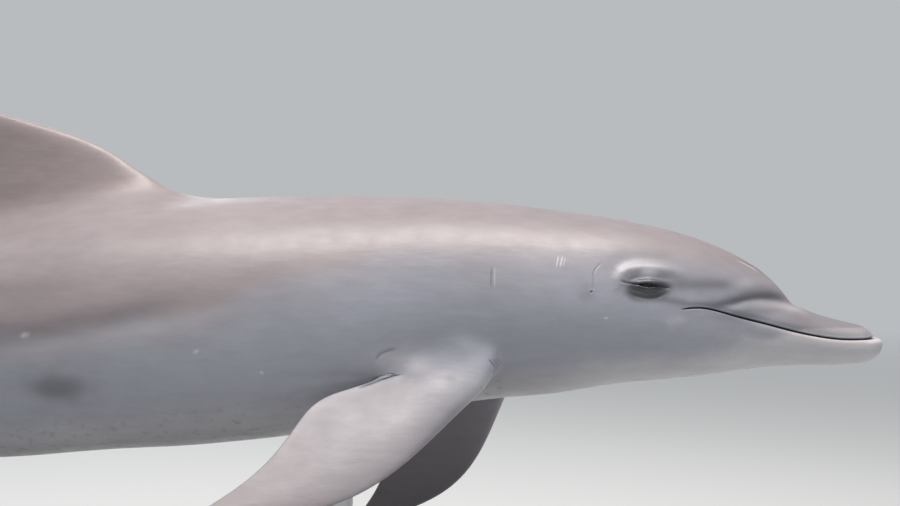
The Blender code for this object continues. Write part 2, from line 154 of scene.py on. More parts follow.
FIN_EDGE_RADIUS = 0.0022   # rounding of the fins' thin back edges
FIN_EDGE_BLEND = (0.15, 0.50)  # the shares of the chord over which that rounding comes in
FIN_TIP_ROUNDING = 0.007   # rounding of their tips, seen on the fin's face
FIN_TIP_NARROWING = 0.42   # share of the chord that each edge draws in at the very tip
DORSAL_FILLET = 0.050      # how wide the dorsal fin's root flares into the body
SHOULDER_FILLET = 0.044    # the same on the flipper's upper face
FLIPPER_FILLET = 0.030     # on its lower face
ARMPIT_FILLET = 0.014      # and at its back edge
FLUKE_FILLET = 0.034
CREASE_FILLET = 0.006      # rounding in the crease between melon and beak
THROAT_FILLET = 0.004      # and under the beak
BEAK_FADE = 0.005          # how far the beak's back end sinks into the head
BEAK_FADE_LENGTH = 0.050   # and over what length

# Lengths of the mesh's edges: on plain skin, on the head and near fine forms, by those forms and in them.
FIRST_EDGE = 0.006
FINE_EDGE = 0.003
FINER_EDGE = 0.0016
FINEST_EDGE = 0.0008
FIN_RIM_EDGE = 0.0015
LONG_EDGE_SHARE = 1.35     # an edge is halved where it is longer than wanted by this factor
FIRST_MARGIN = 0.004       # how much fatter the fins are before the skin settles on its form
ROUGH_FLUKE_ROOT = -0.004  # where the rough flukes overlap at the midline
NARROW_STROKE = 0.004      # a fold or mark narrower than this gets finer edges

HEAD_BACK = 0.56           # where the head's finer skin starts
HEAD_SIDE = 0.06           # how far off the midline the head's sides start
BODY_SIDE = 0.05           # and the body's sides
UNDERSIDE = 0.36           # the height under which the belly's openings lie

MOUTH_DEPTH = 0.006
MOUTH_HALF_GAP = (0.0011, 0.0015)  # at its corner and in front
LIP_ROUNDING = (-0.0085, -0.0008)  # heights from the mouth line over which the jaws' lengths change

LID_THICKNESS = 0.0014
LID_FILLET = 0.010
OPENING_HALF_LENGTH = 0.0155
OPENING_TOP = 0.0031
OPENING_BOTTOM = 0.0036
OPENING_TILT = math.radians(-4)
OPENING_SINK = 0.004       # how far behind the eyeball's front the skin in the opening lies
OPENING_REACH = 0.024      # how far from the eyeball's middle it is looked for
IRIS_EDGE = (0.008, 0.009)  # where the iris ends, from the middle of the pupil
PUPIL_HALF_SIZE = (0.0052, 0.003)

BLOWHOLE_X = 0.668
BLOWHOLE_HALF_WIDTH = 0.019
BLOWHOLE_CURVE = 0.013     # how far its ends lie in front of its middle
BLOWHOLE_FLOOR = 0.6       # a height under it
EAR_X = 0.6155
EAR_Z = 0.5715
EAR_AREA = 0.008           # how far round the ear the mesh is finer

SWELLING_PLACE = (0.346, 0.453)  # over the right flipper's root
SWELLING_HALF_SIZE = (0.056, 0.027)
SWELLING_HEIGHT = 0.008
NAVEL_X = -0.050
NAVEL_HALF_SIZE = (0.010, 0.0035)
NAVEL_DEPTH = 0.0016
NAVEL_AREA = 0.020         # how far round it the mesh is finer
# The genital slit, one slit on each side of it and the vent: start, end, distance off the midline, depth.
SLITS = ((-0.600, -0.500, 0, 0.003), (-0.575, -0.545, 0.022, 0.0016), (-0.652, -0.636, 0, 0.0026))
SLIT_HALF_WIDTH = 0.0018
SLITS_AREA = (-0.66, -0.49)  # where along X the mesh is finer for them

COLUMN_CHAMFER = 0.0012
COLUMN_SIDES = 96
COLUMN_SHARP_ANGLE = math.radians(30)


def spline(points):
    """A natural cubic spline through the points, as a function of an array. It is steady past its ends."""
    x, y = np.array(points, float).T
    step = np.diff(x)
    system = np.eye(len(x))
    change = np.zeros(len(x))
    for i in range(1, len(x) - 1):
        system[i, i - 1:i + 2] = step[i - 1], 2 * (step[i - 1] + step[i]), step[i]
        change[i] = 6 * ((y[i + 1] - y[i]) / step[i] - (y[i] - y[i - 1]) / step[i - 1])
    bend = np.linalg.solve(system, change)

    def value(at):
        at = np.clip(at, x[0], x[-1])
        i = np.clip(np.searchsorted(x, at) - 1, 0, len(step) - 1)
        past, left = at - x[i], x[i + 1] - at
        curve = (bend[i] * left**3 + bend[i + 1] * past**3) / (6 * step[i])
        line = (y[i] * left + y[i + 1] * past) / step[i]
        return curve + line - step[i] * (bend[i] * left + bend[i + 1] * past) / 6

    return value


def steady(amount):
    """A function that always gives the same amount."""
    return lambda at: amount


def ease(value, start, end):
    """0 up to start, 1 past end, and smooth between them."""
    share = np.clip((value - start) / (end - start), 0, 1)
    return share * share * (3 - 2 * share)


def bell(value, centre, width):
    """1 at the centre and close to 0 two widths away."""
    return np.exp(-((value - centre) / width) ** 2)


def ridges(across, *profile):
    """Some ridges and furrows side by side. Each is given as (height, place, width)."""
    return sum(height * bell(across, place, width) for height, place, width in profile)


def smooth_min(first, second, fillet):
    """The lower of two distances, rounded over the fillet's width where they meet."""
    overlap = np.maximum(1 - np.abs(first - second) / fillet, 0)
    return np.minimum(first, second) - overlap**2 * fillet / 4


# ---- Distances to the body's forms

def long_form(top, bottom, half_width, power, widest, tip=None):
    """One of the body's long forms, from stations along X. Its front is rounded if it has a tip."""
    return {
        "top": spline(top), "bottom": spline(bottom), "half_width": spline(half_width), "power": power,
        "widest": widest, "back": top[0][0], "front": top[-1][0], "tip": tip,
    }


def fin_form(lead, trail, thickness, root):
    """A fin, from stations along its span."""
    return {
        "lead": spline(lead), "trail": spline(trail), "thickness": spline(thickness), "root": root,
        "tip": lead[-1][0],
    }


TRUNK = long_form(BACK_LINE, BELLY_LINE, HALF_WIDTH, spline(SECTION_POWER), spline(WIDEST_SHARE))
LOWER_BEAK = long_form(
    BEAK_TOP, BEAK_BOTTOM, BEAK_HALF_WIDTH, steady(BEAK_POWER), steady(BEAK_WIDEST_SHARE), BEAK_TIP,
)
UPPER_BEAK = dict(LOWER_BEAK, tip=BEAK_TIP - UPPER_JAW_SETBACK)
DORSAL_FIN = fin_form(DORSAL_LEAD, DORSAL_TRAIL, DORSAL_THICKNESS, DORSAL_FOOT)
FLIPPER = fin_form(FLIPPER_LEAD, FLIPPER_TRAIL, FLIPPER_THICKNESS, FLIPPER_ROOT)
FLUKE = fin_form(FLUKE_LEAD, FLUKE_TRAIL, FLUKE_THICKNESS, FLUKE_ROOT)
mouth_height = spline(MOUTH_LINE)


def form_distance(form, x, y, z):
    """About how far points lie outside one of the body's long forms."""
    at = np.clip(x, form["back"], form["front"])
    top, bottom, half_width = form["top"](at), form["bottom"](at), form["half_width"](at)
    middle = bottom + form["widest"](at) * (top - bottom)
    reach = np.where(z > middle, top - middle, middle - bottom)
    power = form["power"](at)
    across, up = np.abs(y) / half_width, np.abs(z - middle) / reach
    out = np.maximum(across**power + up**power, 1e-9) ** (1 / power)
    slope_y = (across / out) ** (power - 1) / half_width
    slope_z = (up / out) ** (power - 1) / reach
    slope_x = 0.0
    if form["tip"] is not None:
        past = np.maximum(x - (form["tip"] - BEAK_ROUNDING), 0) / BEAK_ROUNDING
        slope_x = past / BEAK_ROUNDING
        out = np.hypot(out, past)
    slope = np.sqrt(slope_x**2 + slope_y**2 + slope_z**2)
    distance = (out - 1) / np.maximum(slope, 0.5 / np.maximum(half_width, reach))
    if form["tip"] is None:
        beyond = x - at
    else:
        beyond = np.minimum(x - at, 0)
    return np.where(beyond == 0, distance, np.hypot(np.maximum(distance, 0), beyond))


FOIL_NOSE = 0.2969  # the first factor of the NACA four-digit foils, whose half thickness is 5 times the sum
FOIL_SAMPLE = 0.02  # the share of the chord over which a foil's slope is measured


def foil_square(share):
    """The square of a fin's half thickness at a share of its chord, for a thickness of one."""
    body = -0.126 * share - 0.3516 * share**2 + 0.2843 * share**3 - 0.1036 * share**4
    return 25 * (FOIL_NOSE * np.sqrt(share) + body) ** 2


def fin_distance(fin, span, chord, height):
    """About how far points lie outside a fin, from their places in the fin's own coordinates."""
    along = np.clip(span, fin["root"], fin["tip"])
    front, back, thickness = fin["lead"](along), fin["trail"](along), fin["thickness"](along)
    from_tip = np.maximum(1 - (fin["tip"] - along) / FIN_TIP_ROUNDING, 0)
    narrowing = FIN_TIP_NARROWING * (front - back) * from_tip**2
    front, back = front - narrowing, back + narrowing
    length = front - back
    share = np.clip((front - chord) / length, 0, 1)
    square = thickness**2 * foil_square(share)
    nearby = np.clip(share + FOIL_SAMPLE, 0, 1)
    steepness = (thickness**2 * foil_square(nearby) - square) / (FOIL_SAMPLE * length)
    square = square + FIN_EDGE_RADIUS**2 * ease(share, *FIN_EDGE_BLEND)
    before = np.maximum(chord - front, 0)
    behind = np.maximum(back - chord, 0)
    past = span - along
    nose = 25 * (FOIL_NOSE * thickness) ** 2 / length
    gap = height**2 + behind**2 + past**2 + nose * before - square
    return gap / (np.abs(height) + np.sqrt(square + steepness**2 + behind**2 + past**2) + 1e-6)


def flipper_axes(hold):
    """The directions along, across and out of a flipper's face, as rows."""
    splay, sweep, twist = (math.radians(hold[key]) for key in ("splay", "sweep", "twist"))
    forward = np.array((1.0, 0.0, 0.0))
    down = np.array((0.0, hold["side"] * math.sin(splay), -math.cos(splay)))
    outwards = hold["side"] * np.cross(forward, down)
    along = down * math.sin(sweep) - forward * math.cos(sweep)
    across = forward * math.sin(sweep) + down * math.cos(sweep)
    across, face = (
        across * math.cos(twist) - outwards * math.sin(twist),
        outwards * math.cos(twist) + across * math.sin(twist),
    )
    return np.array((along, across, face))


def flipper_place(hold, points):
    """Points in a flipper's own coordinates: along its span, across its chord, out of its face."""
    return ((points - np.array(hold["shoulder"])) @ flipper_axes(hold).T).T


def fluke_middle(x, span):
    """The height of the flukes' middle plane."""
    return FLUKE_HEIGHT - (FLUKE_SLOPE * (FLUKE_LEAD[0][1] - x) + FLUKE_DROOP * (span / FLUKE_SPAN) ** 2)


def fluke_place(points):
    """Points in the flukes' own coordinates. Both share one, mirrored, whose root is past the midline."""
    x, y, z = points.T
    return np.abs(y), x, z - fluke_middle(x, np.abs(y))


def trunk_distance(points):
    return form_distance(TRUNK, *points.T)


def eye_centre(side):
    """The middle of an eyeball."""
    top, bottom = TRUNK["top"](EYE_X), TRUNK["bottom"](EYE_X)
    middle = bottom + TRUNK["widest"](EYE_X) * (top - bottom)
    power = TRUNK["power"](EYE_X)
    out = TRUNK["half_width"](EYE_X) * (1 - ((EYE_Z - middle) / (top - middle)) ** power) ** (1 / power)
    return np.array((EYE_X, side * (out - EYE_DEPTH), EYE_Z))


def beak_distance(points):
    """Both jaws, which part at the mouth line. The beak fades into the head behind the crease."""
    x, y, z = points.T
    upper, lower = form_distance(UPPER_BEAK, x, y, z), form_distance(LOWER_BEAK, x, y, z)
    beak = lower + (upper - lower) * ease(z - mouth_height(x), *LIP_ROUNDING)
    return beak + BEAK_FADE * ease(-x, -(BEAK_BACK + BEAK_FADE_LENGTH), -BEAK_BACK)


def lid_distance(side):
    """The ball of flesh that the lids form over an eye."""
    return lambda points: np.linalg.norm(points - eye_centre(side), axis=1) - (EYE_RADIUS + LID_THICKNESS)


def flipper_distance(hold):
    return lambda points: fin_distance(FLIPPER, *flipper_place(hold, points))


def dorsal_place(points):
    """Points in the dorsal fin's own coordinates."""
    x, y, z = points.T
    return z, x, y


def beak_fillet(points):
    """Wide in the crease above the beak and narrow at the throat."""
    return THROAT_FILLET + (CREASE_FILLET - THROAT_FILLET) * ease(points[:, 2], 0.49, 0.53)


def flipper_fillet(hold):
    """Wide over the shoulder, and narrow behind it, where the flipper's edge lies over the armpit."""
    def width(points):
        span, chord, height = flipper_place(hold, points)
        front = FLIPPER_FILLET + (SHOULDER_FILLET - FLIPPER_FILLET) * ease(height, -0.005, 0.015)
        front = ARMPIT_FILLET + (front - ARMPIT_FILLET) * ease(span, -0.090, -0.035)
        behind = ease(-chord, 0.000, 0.032) * ease(span, 0.025, 0.062)
        return front + (ARMPIT_FILLET - front) * behind
    return width


# Each form that joins the trunk: how far it lies outside points, its fillet, and a box all round it.
JOINED = [
    (beak_distance, beak_fillet, (0.70, -0.15, 0.40), (1.10, 0.15, 0.62)),
    (lambda points: fin_distance(DORSAL_FIN, *dorsal_place(points)), steady(DORSAL_FILLET),
     (-0.60, -0.10, 0.60), (0.20, 0.10, 0.95)),
    (lambda points: fin_distance(FLUKE, *fluke_place(points)), steady(FLUKE_FILLET),
     (-1.45, -0.35, 0.30), (-1.05, 0.35, 0.48)),
]
for label, side in SIDES.items():
    reach = sorted((0.06 * side, 0.45 * side))
    JOINED.append((
        flipper_distance(FLIPPERS[f"flipper_{label}"]), flipper_fillet(FLIPPERS[f"flipper_{label}"]),
        (-0.05, reach[0], 0.05), (0.60, reach[1], 0.56),
    ))
    reach = sorted((0.05 * side, 0.17 * side))
    JOINED.append((
        lid_distance(side), steady(LID_FILLET),
        (EYE_X - 0.04, reach[0], EYE_Z - 0.04), (EYE_X + 0.04, reach[1], EYE_Z + 0.04),
    ))


def fin_places(points):
    """Each fin with the points' places in its own coordinates. Both flukes share one."""
    places = [(DORSAL_FIN, dorsal_place(points)), (FLUKE, fluke_place(points))]
    return places + [(FLIPPER, flipper_place(hold, points)) for hold in FLIPPERS.values()]


def on_thin_edge(points):
    """Whether points lie on the thin back edge of a fin."""
    on_edge = np.zeros(len(points), bool)
    for fin, (span, chord, height) in fin_places(points):
        along = np.clip(span, fin["root"], fin["tip"])
        out = fin["trail"](along) - chord
        near = np.hypot(out, height) < 3 * FIN_EDGE_RADIUS
        on_edge |= near & (out > -0.0003) & (span > fin["root"] + 0.02) & (span < fin["tip"] - 0.008)
    return on_edge


def skin_distance(points):
    """About how far points lie outside the skin before its small detail."""
    skin = trunk_distance(points)
    for distance, fillet, low, high in JOINED:
        near = np.flatnonzero(((points > low) & (points < high)).all(1))
        if len(near):
            some = points[near]
            skin[near] = smooth_min(skin[near], distance(some), fillet(some))
    return skin


def skin_slope(points, here=None, step=0.0003):
    """The direction in which the distance to the skin grows, and how fast."""
    slope = np.empty_like(points)
    for axis in range(3):
        shift = np.zeros(3)
        shift[axis] = step
        if here is None:
            slope[:, axis] = (skin_distance(points + shift) - skin_distance(points - shift)) / 2
        else:
            slope[:, axis] = skin_distance(points + shift) - here
    return slope / step


def settle(points, rounds, farthest=0.006):
    """Moves points onto the skin along its slope."""
    for _ in range(rounds):
        here = skin_distance(points)
        slope = skin_slope(points, here)
        steepness = np.maximum((slope**2).sum(1), 0.05)
        move = -(here / steepness)[:, None] * slope
        length = np.linalg.norm(move, axis=1, keepdims=True)
        points = points + move * np.minimum(1, farthest / np.maximum(length, 1e-9))
    return points


def normals_at(points):
    slope = skin_slope(points)
    return slope / np.maximum(np.linalg.norm(slope, axis=1, keepdims=True), 1e-9)


# ---- Meshes

def get_points(mesh):
    flat = np.empty(len(mesh.vertices) * 3, np.float32)
    mesh.vertices.foreach_get("co", flat)
    return flat.reshape(-1, 3).astype(float)


def set_points(mesh, points):
    mesh.vertices.foreach_set("co", points.astype(np.float32).ravel())
    mesh.update()


def get_edges(mesh):
    flat = np.empty(len(mesh.edges) * 2, np.int32)
    mesh.edges.foreach_get("vertices", flat)
    return flat.reshape(-1, 2)


def neighbours_middle(points, edges):
    """The middle of each point's neighbours."""
    count = np.bincount(edges.ravel(), minlength=len(points))
    total = np.empty_like(points)
    for axis in range(3):
        total[:, axis] = (
            np.bincount(edges[:, 0], points[edges[:, 1], axis], len(points))
            + np.bincount(edges[:, 1], points[edges[:, 0], axis], len(points))
        )
    return total / np.maximum(count, 1)[:, None]


def relax(points, edges, share):
    """Moves points along the skin, part of the way to their neighbours' middle. Thin edges stay."""
    move = share * (neighbours_middle(points, edges) - points)
    move[on_thin_edge(points)] = 0
    outwards = normals_at(points)
    return points + move - (move * outwards).sum(1, keepdims=True) * outwards


def even_out(points, edges, share, rounds):
    """Spaces the points more evenly and keeps them on the skin."""
    for _ in range(rounds):
        points = settle(relax(points, edges, share), rounds=1)
    return points


def unfold(mesh, points, edges, rounds=12):
    """Evens out the few places, most of them at the fins' tips, where the mesh has folded over itself."""
    outwards = normals_at(points)
    corners = np.empty(len(mesh.loops), np.int32)
    mesh.loops.foreach_get("vertex_index", corners)
    sizes = np.empty(len(mesh.polygons), np.int32)
    mesh.polygons.foreach_get("loop_total", sizes)
    for _ in range(rounds):
        set_points(mesh, points)
        flat = np.empty(len(sizes) * 3, np.float32)
        mesh.polygon_normals.foreach_get("vector", flat)
        facing = (np.repeat(flat.reshape(-1, 3), sizes, axis=0) * outwards[corners]).sum(1)
        folded = np.zeros(len(points), bool)
        folded[corners[facing < -0.1]] = True
        for _ in range(2):
            folded[edges[folded[edges].any(1)].ravel()] = True
        points[folded] = neighbours_middle(points, edges)[folded]
    return points


def link_object(name, content):
    obj = bpy.data.objects.new(name, content)
    bpy.context.scene.collection.objects.link(obj)
    return obj


def new_object(name, bm):
    """A smooth-shaded object from a bmesh, which this frees."""
    bmesh.ops.recalc_face_normals(bm, faces=bm.faces)
    mesh = bpy.data.meshes.new(name)
    bm.to_mesh(mesh)
    bm.free()
    mesh.shade_smooth()
    return link_object(name, mesh)


def apply_modifiers(obj):
    """Replaces an object's mesh by what its modifiers make of it."""
    graph = bpy.context.evaluated_depsgraph_get()
    mesh = bpy.data.meshes.new_from_object(obj.evaluated_get(graph))
    obj.modifiers.clear()
    old = obj.data
    obj.data = mesh
    bpy.data.meshes.remove(old)


def add_loft(bm, rings):
    """Adds a closed skin through rings of points to the bmesh, with a flat cap at each end."""
    loops = [[bm.verts.new(point) for point in ring] for ring in rings]
    for near, far in zip(loops, loops[1:]):
        for k in range(len(near)):
            bm.faces.new((near[k - 1], near[k], far[k], far[k - 1]))
    bm.faces.new(loops[0])
    bm.faces.new(reversed(loops[-1]))


def form_rings(form, count, sides=64):
    """Oval sections of a body form. At a rounded tip they shrink and stop one edge's length short of it."""
    rings = []
    for x in np.linspace(form["back"], form["front"] - (FIRST_EDGE if form["tip"] else 0), count):
        past = 0.0
        if form["tip"]:
            past = max(x - (form["tip"] - BEAK_ROUNDING), 0) / BEAK_ROUNDING
        rounding = math.sqrt(1 - past**2)
        top, bottom = float(form["top"](x)), float(form["bottom"](x))
        middle = (top + bottom) / 2
        ring = []
        for k in range(sides):
            angle = 2 * math.pi * k / sides
            ring.append((
                x,
                float(form["half_width"](x)) * rounding * math.cos(angle),
                middle + (top - middle) * rounding * math.sin(angle),
            ))
        rings.append(ring)
    return rings


def fin_rings(fin, place, count=40, points=16):
    """Sections of a fin, fatter by the first margin. place turns its coordinates into the world's."""
    rings = []
    for span in np.linspace(fin["root"], fin["tip"] + FIRST_MARGIN / 2, count):
        front = float(fin["lead"](span)) + FIRST_MARGIN
        back = float(fin["trail"](span)) - FIRST_MARGIN
        thickness = float(fin["thickness"](span))
        shares = (1 - np.cos(np.linspace(0, math.pi, points))) / 2
        halves = thickness * np.sqrt(foil_square(shares)) + FIRST_MARGIN
        upper = [(front + share * (back - front), half) for share, half in zip(shares, halves)]
        section = upper + [(chord, -half) for chord, half in reversed(upper)]
        rings.append([place(span, chord, height) for chord, height in section])
    return rings


def rough_body():
    """The body's forms as one closed mesh of even squares, close to the skin."""
    bm = bmesh.new()
    add_loft(bm, form_rings(TRUNK, 80))
    add_loft(bm, form_rings(LOWER_BEAK, 40))
    add_loft(bm, fin_rings(DORSAL_FIN, lambda span, chord, height: (chord, height, span)))
    for hold in FLIPPERS.values():
        axes, shoulder = flipper_axes(hold), np.array(hold["shoulder"])
        add_loft(bm, fin_rings(FLIPPER, lambda *place: tuple(shoulder + np.array(place) @ axes)))
    for side in SIDES.values():
        def place(span, chord, height):
            return chord, side * span, fluke_middle(chord, span) + height
        add_loft(bm, fin_rings(dict(FLUKE, root=ROUGH_FLUKE_ROOT), place))
    body = new_object("skin", bm)
    remesh = body.modifiers.new("even squares", "REMESH")
    remesh.mode = "VOXEL"
    remesh.voxel_size = FIRST_EDGE
    apply_modifiers(body)
    return body


# ---- Where the skin has its detail

RIGHT = SIDES["right"]
# Old scratches and faint lines that this animal has on its right side: (side, stops, lightness, width).
MARKS = [
    (RIGHT, ((0.5645, 0.6062), (0.5668, 0.616), (0.5681, 0.6265)), 1.0, 0.0008),
    (RIGHT, ((0.5703, 0.6062), (0.5722, 0.616), (0.5746, 0.6251)), 1.0, 0.001),
    (RIGHT, ((0.575, 0.608), (0.5768, 0.616), (0.579, 0.623)), 0.6, 0.0009),
    (RIGHT, ((0.4718, 0.5748), (0.4716, 0.593), (0.4726, 0.6107)), -0.7, 0.001),
    (RIGHT, ((0.4775, 0.5748), (0.4768, 0.593), (0.4769, 0.6106)), 0.5, 0.001),
    (RIGHT, ((0.6335, 0.5342), (0.6365, 0.5338), (0.6395, 0.5345)), 1.0, 0.0012),
    (RIGHT, ((0.8318, 0.6234), (0.8578, 0.6097), (0.8735, 0.6005), (0.8828, 0.590)), -0.6, 0.0012),
    (RIGHT, ((0.834, 0.619), (0.8578, 0.6065), (0.8715, 0.5975)), 0.5, 0.0012),
    (RIGHT, ((0.137, 0.4535), (0.140, 0.4545), (0.143, 0.454)), 0.8, 0.0016),
]


def mouth_gap(points):
    """How far points are above the mouth line, square to it, and how far in front of its corner."""
    x, z = points[:, 0], points[:, 2]
    lean = (mouth_height(x + 0.001) - mouth_height(x - 0.001)) / 0.002
    return (z - mouth_height(x)) / np.sqrt(1 + lean**2), x - MOUTH_LINE[0][0]


def beside_eye(points):
    """Distances from the eyes' middle, forwards and upwards, seen from the side."""
    return points[:, 0] - EYE_X, points[:, 2] - EYE_Z


def on_head_side(points):
    return np.abs(points[:, 1]) > HEAD_SIDE


def opening_edge(forward, up):
    """How far points are outside the lens-shaped opening of the lids, negative inside."""
    along = forward * math.cos(OPENING_TILT) + up * math.sin(OPENING_TILT)
    rise = up * math.cos(OPENING_TILT) - forward * math.sin(OPENING_TILT)
    half = np.where(rise > 0, OPENING_TOP, OPENING_BOTTOM)
    radius = (OPENING_HALF_LENGTH**2 + half**2) / (2 * half)
    return np.hypot(along, np.abs(rise) + radius - half) - radius


def blowhole_edge(points):
    """How far points are in front of the blowhole's crescent and past its ends, and if they are on top."""
    x, y = points[:, 0] - BLOWHOLE_X, points[:, 1]
    curve = BLOWHOLE_CURVE * (y / BLOWHOLE_HALF_WIDTH) ** 2
    beyond = np.maximum(np.abs(y) - BLOWHOLE_HALF_WIDTH, 0)
    return x - curve, beyond, points[:, 2] > BLOWHOLE_FLOOR


def wanted_edge(points):
    """How long the mesh's edges may be at each point."""
    x, y, z = points.T
    wanted = np.full(len(points), FIRST_EDGE)
    wanted[x > HEAD_BACK] = FINE_EDGE

    def finer(where, edge):
        wanted[where] = np.minimum(wanted[where], edge)

    for fin, (span, chord, height) in fin_places(points):
        along = np.clip(span, fin["root"], fin["tip"])
        edge = np.minimum(fin["lead"](along) - chord, chord - fin["trail"](along))
        edge = np.minimum(edge, fin["tip"] - span)
        near = (np.abs(height) < 0.03) & (span > fin["root"] + 0.02) & (trunk_distance(points) > 0.004)
        finer(near & (edge < 0.020), FINE_EDGE)
        finer(near & (edge < 0.007), FIN_RIM_EDGE)
    gap, ahead = mouth_gap(points)
    finer((np.abs(gap) < 0.016) & (ahead > -0.02), FINER_EDGE)
    finer((np.abs(gap) < 0.0055) & (ahead > -0.012), FINEST_EDGE)
    head_side = on_head_side(points)
    from_eye = np.hypot(*beside_eye(points))
    finer(head_side & (from_eye < 0.062), FINER_EDGE)
    finer(head_side & (from_eye < 0.030), FINEST_EDGE)
    across, beyond, above = blowhole_edge(points)
    finer((np.abs(across) < 0.02) & (beyond < 0.012) & above, FINER_EDGE)
    finer((np.abs(across) < 0.006) & (beyond < 0.004) & above, FINEST_EDGE)
    finer(head_side & (np.hypot(x - EAR_X, z - EAR_Z) < EAR_AREA), FINEST_EDGE)
    for side, stops, _, width in FOLDS + MARKS:
        if width < NARROW_STROKE:
            close = stroke(points, side, stops, 2.5 * width)
            finer(close > 0.10, max(FINEST_EDGE, width / 2))
    below = z < UNDERSIDE
    slits = below & (np.abs(y) < 0.030) & (x > SLITS_AREA[0]) & (x < SLITS_AREA[1])
    finer(slits, FINE_EDGE)
    finer(slits & (np.abs(y) < 0.010), FINER_EDGE)
    finer(below & (np.hypot(x - NAVEL_X, y) < NAVEL_AREA), FINE_EDGE)
    return wanted


def refine(body):
    """Halves the mesh's edges three times wherever they are still too long."""
    mesh = body.data
    for _ in range(3):
        points, edges = get_points(mesh), get_edges(mesh)
        middles = points[edges].mean(1)
        lengths = np.linalg.norm(points[edges[:, 0]] - points[edges[:, 1]], axis=1)
        long = lengths > LONG_EDGE_SHARE * wanted_edge(middles)
        bm = bmesh.new()
        bm.from_mesh(mesh)
        bm.edges.ensure_lookup_table()
        chosen = {bm.edges[i] for i in np.flatnonzero(long)}
        faces = {face for edge in chosen for face in edge.link_faces
                 if sum(e in chosen for e in face.edges) * 2 >= len(face.edges)}
        halved = {edge for face in faces for edge in face.edges}
        bmesh.ops.subdivide_edges(bm, edges=list(halved), cuts=1, use_grid_fill=True)
        bm.to_mesh(mesh)
        bm.free()
        set_points(mesh, settle(get_points(mesh), rounds=2))


# ---- The skin's relief

def mouth_half_gap(ahead):
    return MOUTH_HALF_GAP[0] + (MOUTH_HALF_GAP[1] - MOUTH_HALF_GAP[0]) * ease(ahead, 0.0, 0.12)


def mouth_relief(points):
    """The closed mouth: a deep line, the tucked upper lip over it and the proud lower lip under it."""
    gap, ahead = mouth_gap(points)
    strength = ease(ahead, -0.006, 0.012)
    line = -MOUTH_DEPTH * np.exp(-np.abs(gap / mouth_half_gap(ahead)) ** 3)
    tuck = -0.0012 * bell(gap, 0.0045, 0.004)
    lip = ridges(gap, (0.001, -0.005, 0.0036), (0.0006, -0.012, 0.006))
    return strength * (line + tuck + lip * ease(ahead, 0.03, 0.17))


def smooth_path(stops, count=16):
    """Even points along a smooth line through a few stops, given as (x, z) places seen from the side."""
    stops = np.array(stops, float)
    run = np.r_[0, np.cumsum(np.linalg.norm(np.diff(stops, axis=0), axis=1))]
    at = np.linspace(0, run[-1], count)
    return np.c_[spline(np.c_[run, stops[:, 0]])(at), spline(np.c_[run, stops[:, 1]])(at)]


def path_place(places, path):
    """How far (x, z) places lie from a path, and how far along it they are, from 0 to 1."""
    nearest = np.full(len(places), 1.0)
    along = np.zeros(len(places))
    for i, (start, end) in enumerate(zip(path, path[1:])):
        run = end - start
        share = np.clip((places - start) @ run / (run @ run), 0, 1)
        away = np.linalg.norm(places - start - share[:, None] * run, axis=1)
        closer = away < nearest
        nearest[closer] = away[closer]
        along[closer] = (i + share[closer]) / (len(path) - 1)
    return nearest, along


def stroke(points, side, stops, width):
    """Closeness to a path on the body's sides, from 0 to 1, tapering to its ends. No side means both."""
    path = smooth_path(stops)
    reach = 3 * width
    low, high = path.min(0) - reach, path.max(0) + reach
    places = points[:, [0, 2]]
    near = ((places > low) & (places < high)).all(1) & (np.abs(points[:, 1]) > 0.01)
    if side:
        near &= side * points[:, 1] > 0
    near = np.flatnonzero(near)
    closeness = np.zeros(len(points))
    away, along = path_place(places[near], path)
    closeness[near] = bell(away, 0, width) * ease(np.minimum(along, 1 - along), 0, 0.30)
    return closeness


def by_eye(*stops):
    """Places given from the eye's middle, as places on the body."""
    return [(EYE_X + forward, EYE_Z + up) for forward, up in stops]


def armpit(side, *stops):
    """Places by the right flipper's root, moved to the left flipper's for that side."""
    right, left = FLIPPERS["flipper_right"]["shoulder"], FLIPPERS["flipper_left"]["shoulder"]
    shift = (left[0] - right[0], left[2] - right[2]) if side > 0 else (0, 0)
    return [(x + shift[0], z + shift[1]) for x, z in stops]


# Folds and ridges of the skin: (side or None for both, stops, height, width). The furrows among them also get
# painted shade, darker the deeper they are.
FOLDS = [
    (None, by_eye((-0.030, -0.016), (-0.043, -0.002), (-0.040, 0.014), (-0.022, 0.023), (0.000, 0.0245),
                  (0.022, 0.0225), (0.040, 0.018), (0.066, 0.011)), 0.0048, 0.0085),
    (None, by_eye((-0.030, -0.004), (-0.029, 0.005), (-0.014, 0.0115), (0.002, 0.0125), (0.018, 0.011),
                  (0.036, 0.007)), -0.0014, 0.0034),
    (None, by_eye((-0.044, 0.0062), (-0.028, 0.0038), (-0.009, 0.000)), -0.0024, 0.0015),
    (None, by_eye((0.009, 0.000), (0.020, -0.0022), (0.034, -0.0055)), -0.002, 0.0015),
    (None, by_eye((-0.028, -0.0035), (-0.010, -0.0098), (0.006, -0.010), (0.026, -0.0052)), -0.0012, 0.0014),
    (None, by_eye((-0.034, -0.008), (-0.010, -0.0165), (0.010, -0.0168), (0.034, -0.010)), -0.0022, 0.0034),
    (None, by_eye((-0.022, 0.0055), (-0.006, 0.0084), (0.006, 0.0084), (0.022, 0.0045)), -0.001, 0.0012),
    (None, ((0.6165, 0.570), (0.6184, 0.5845), (0.6197, 0.6004), (0.634, 0.616)), -0.0007, 0.0012),
    (RIGHT, ((0.305, 0.466), (0.3096, 0.479), (0.318, 0.4848), (0.340, 0.490)), -0.0012, 0.0022),
]
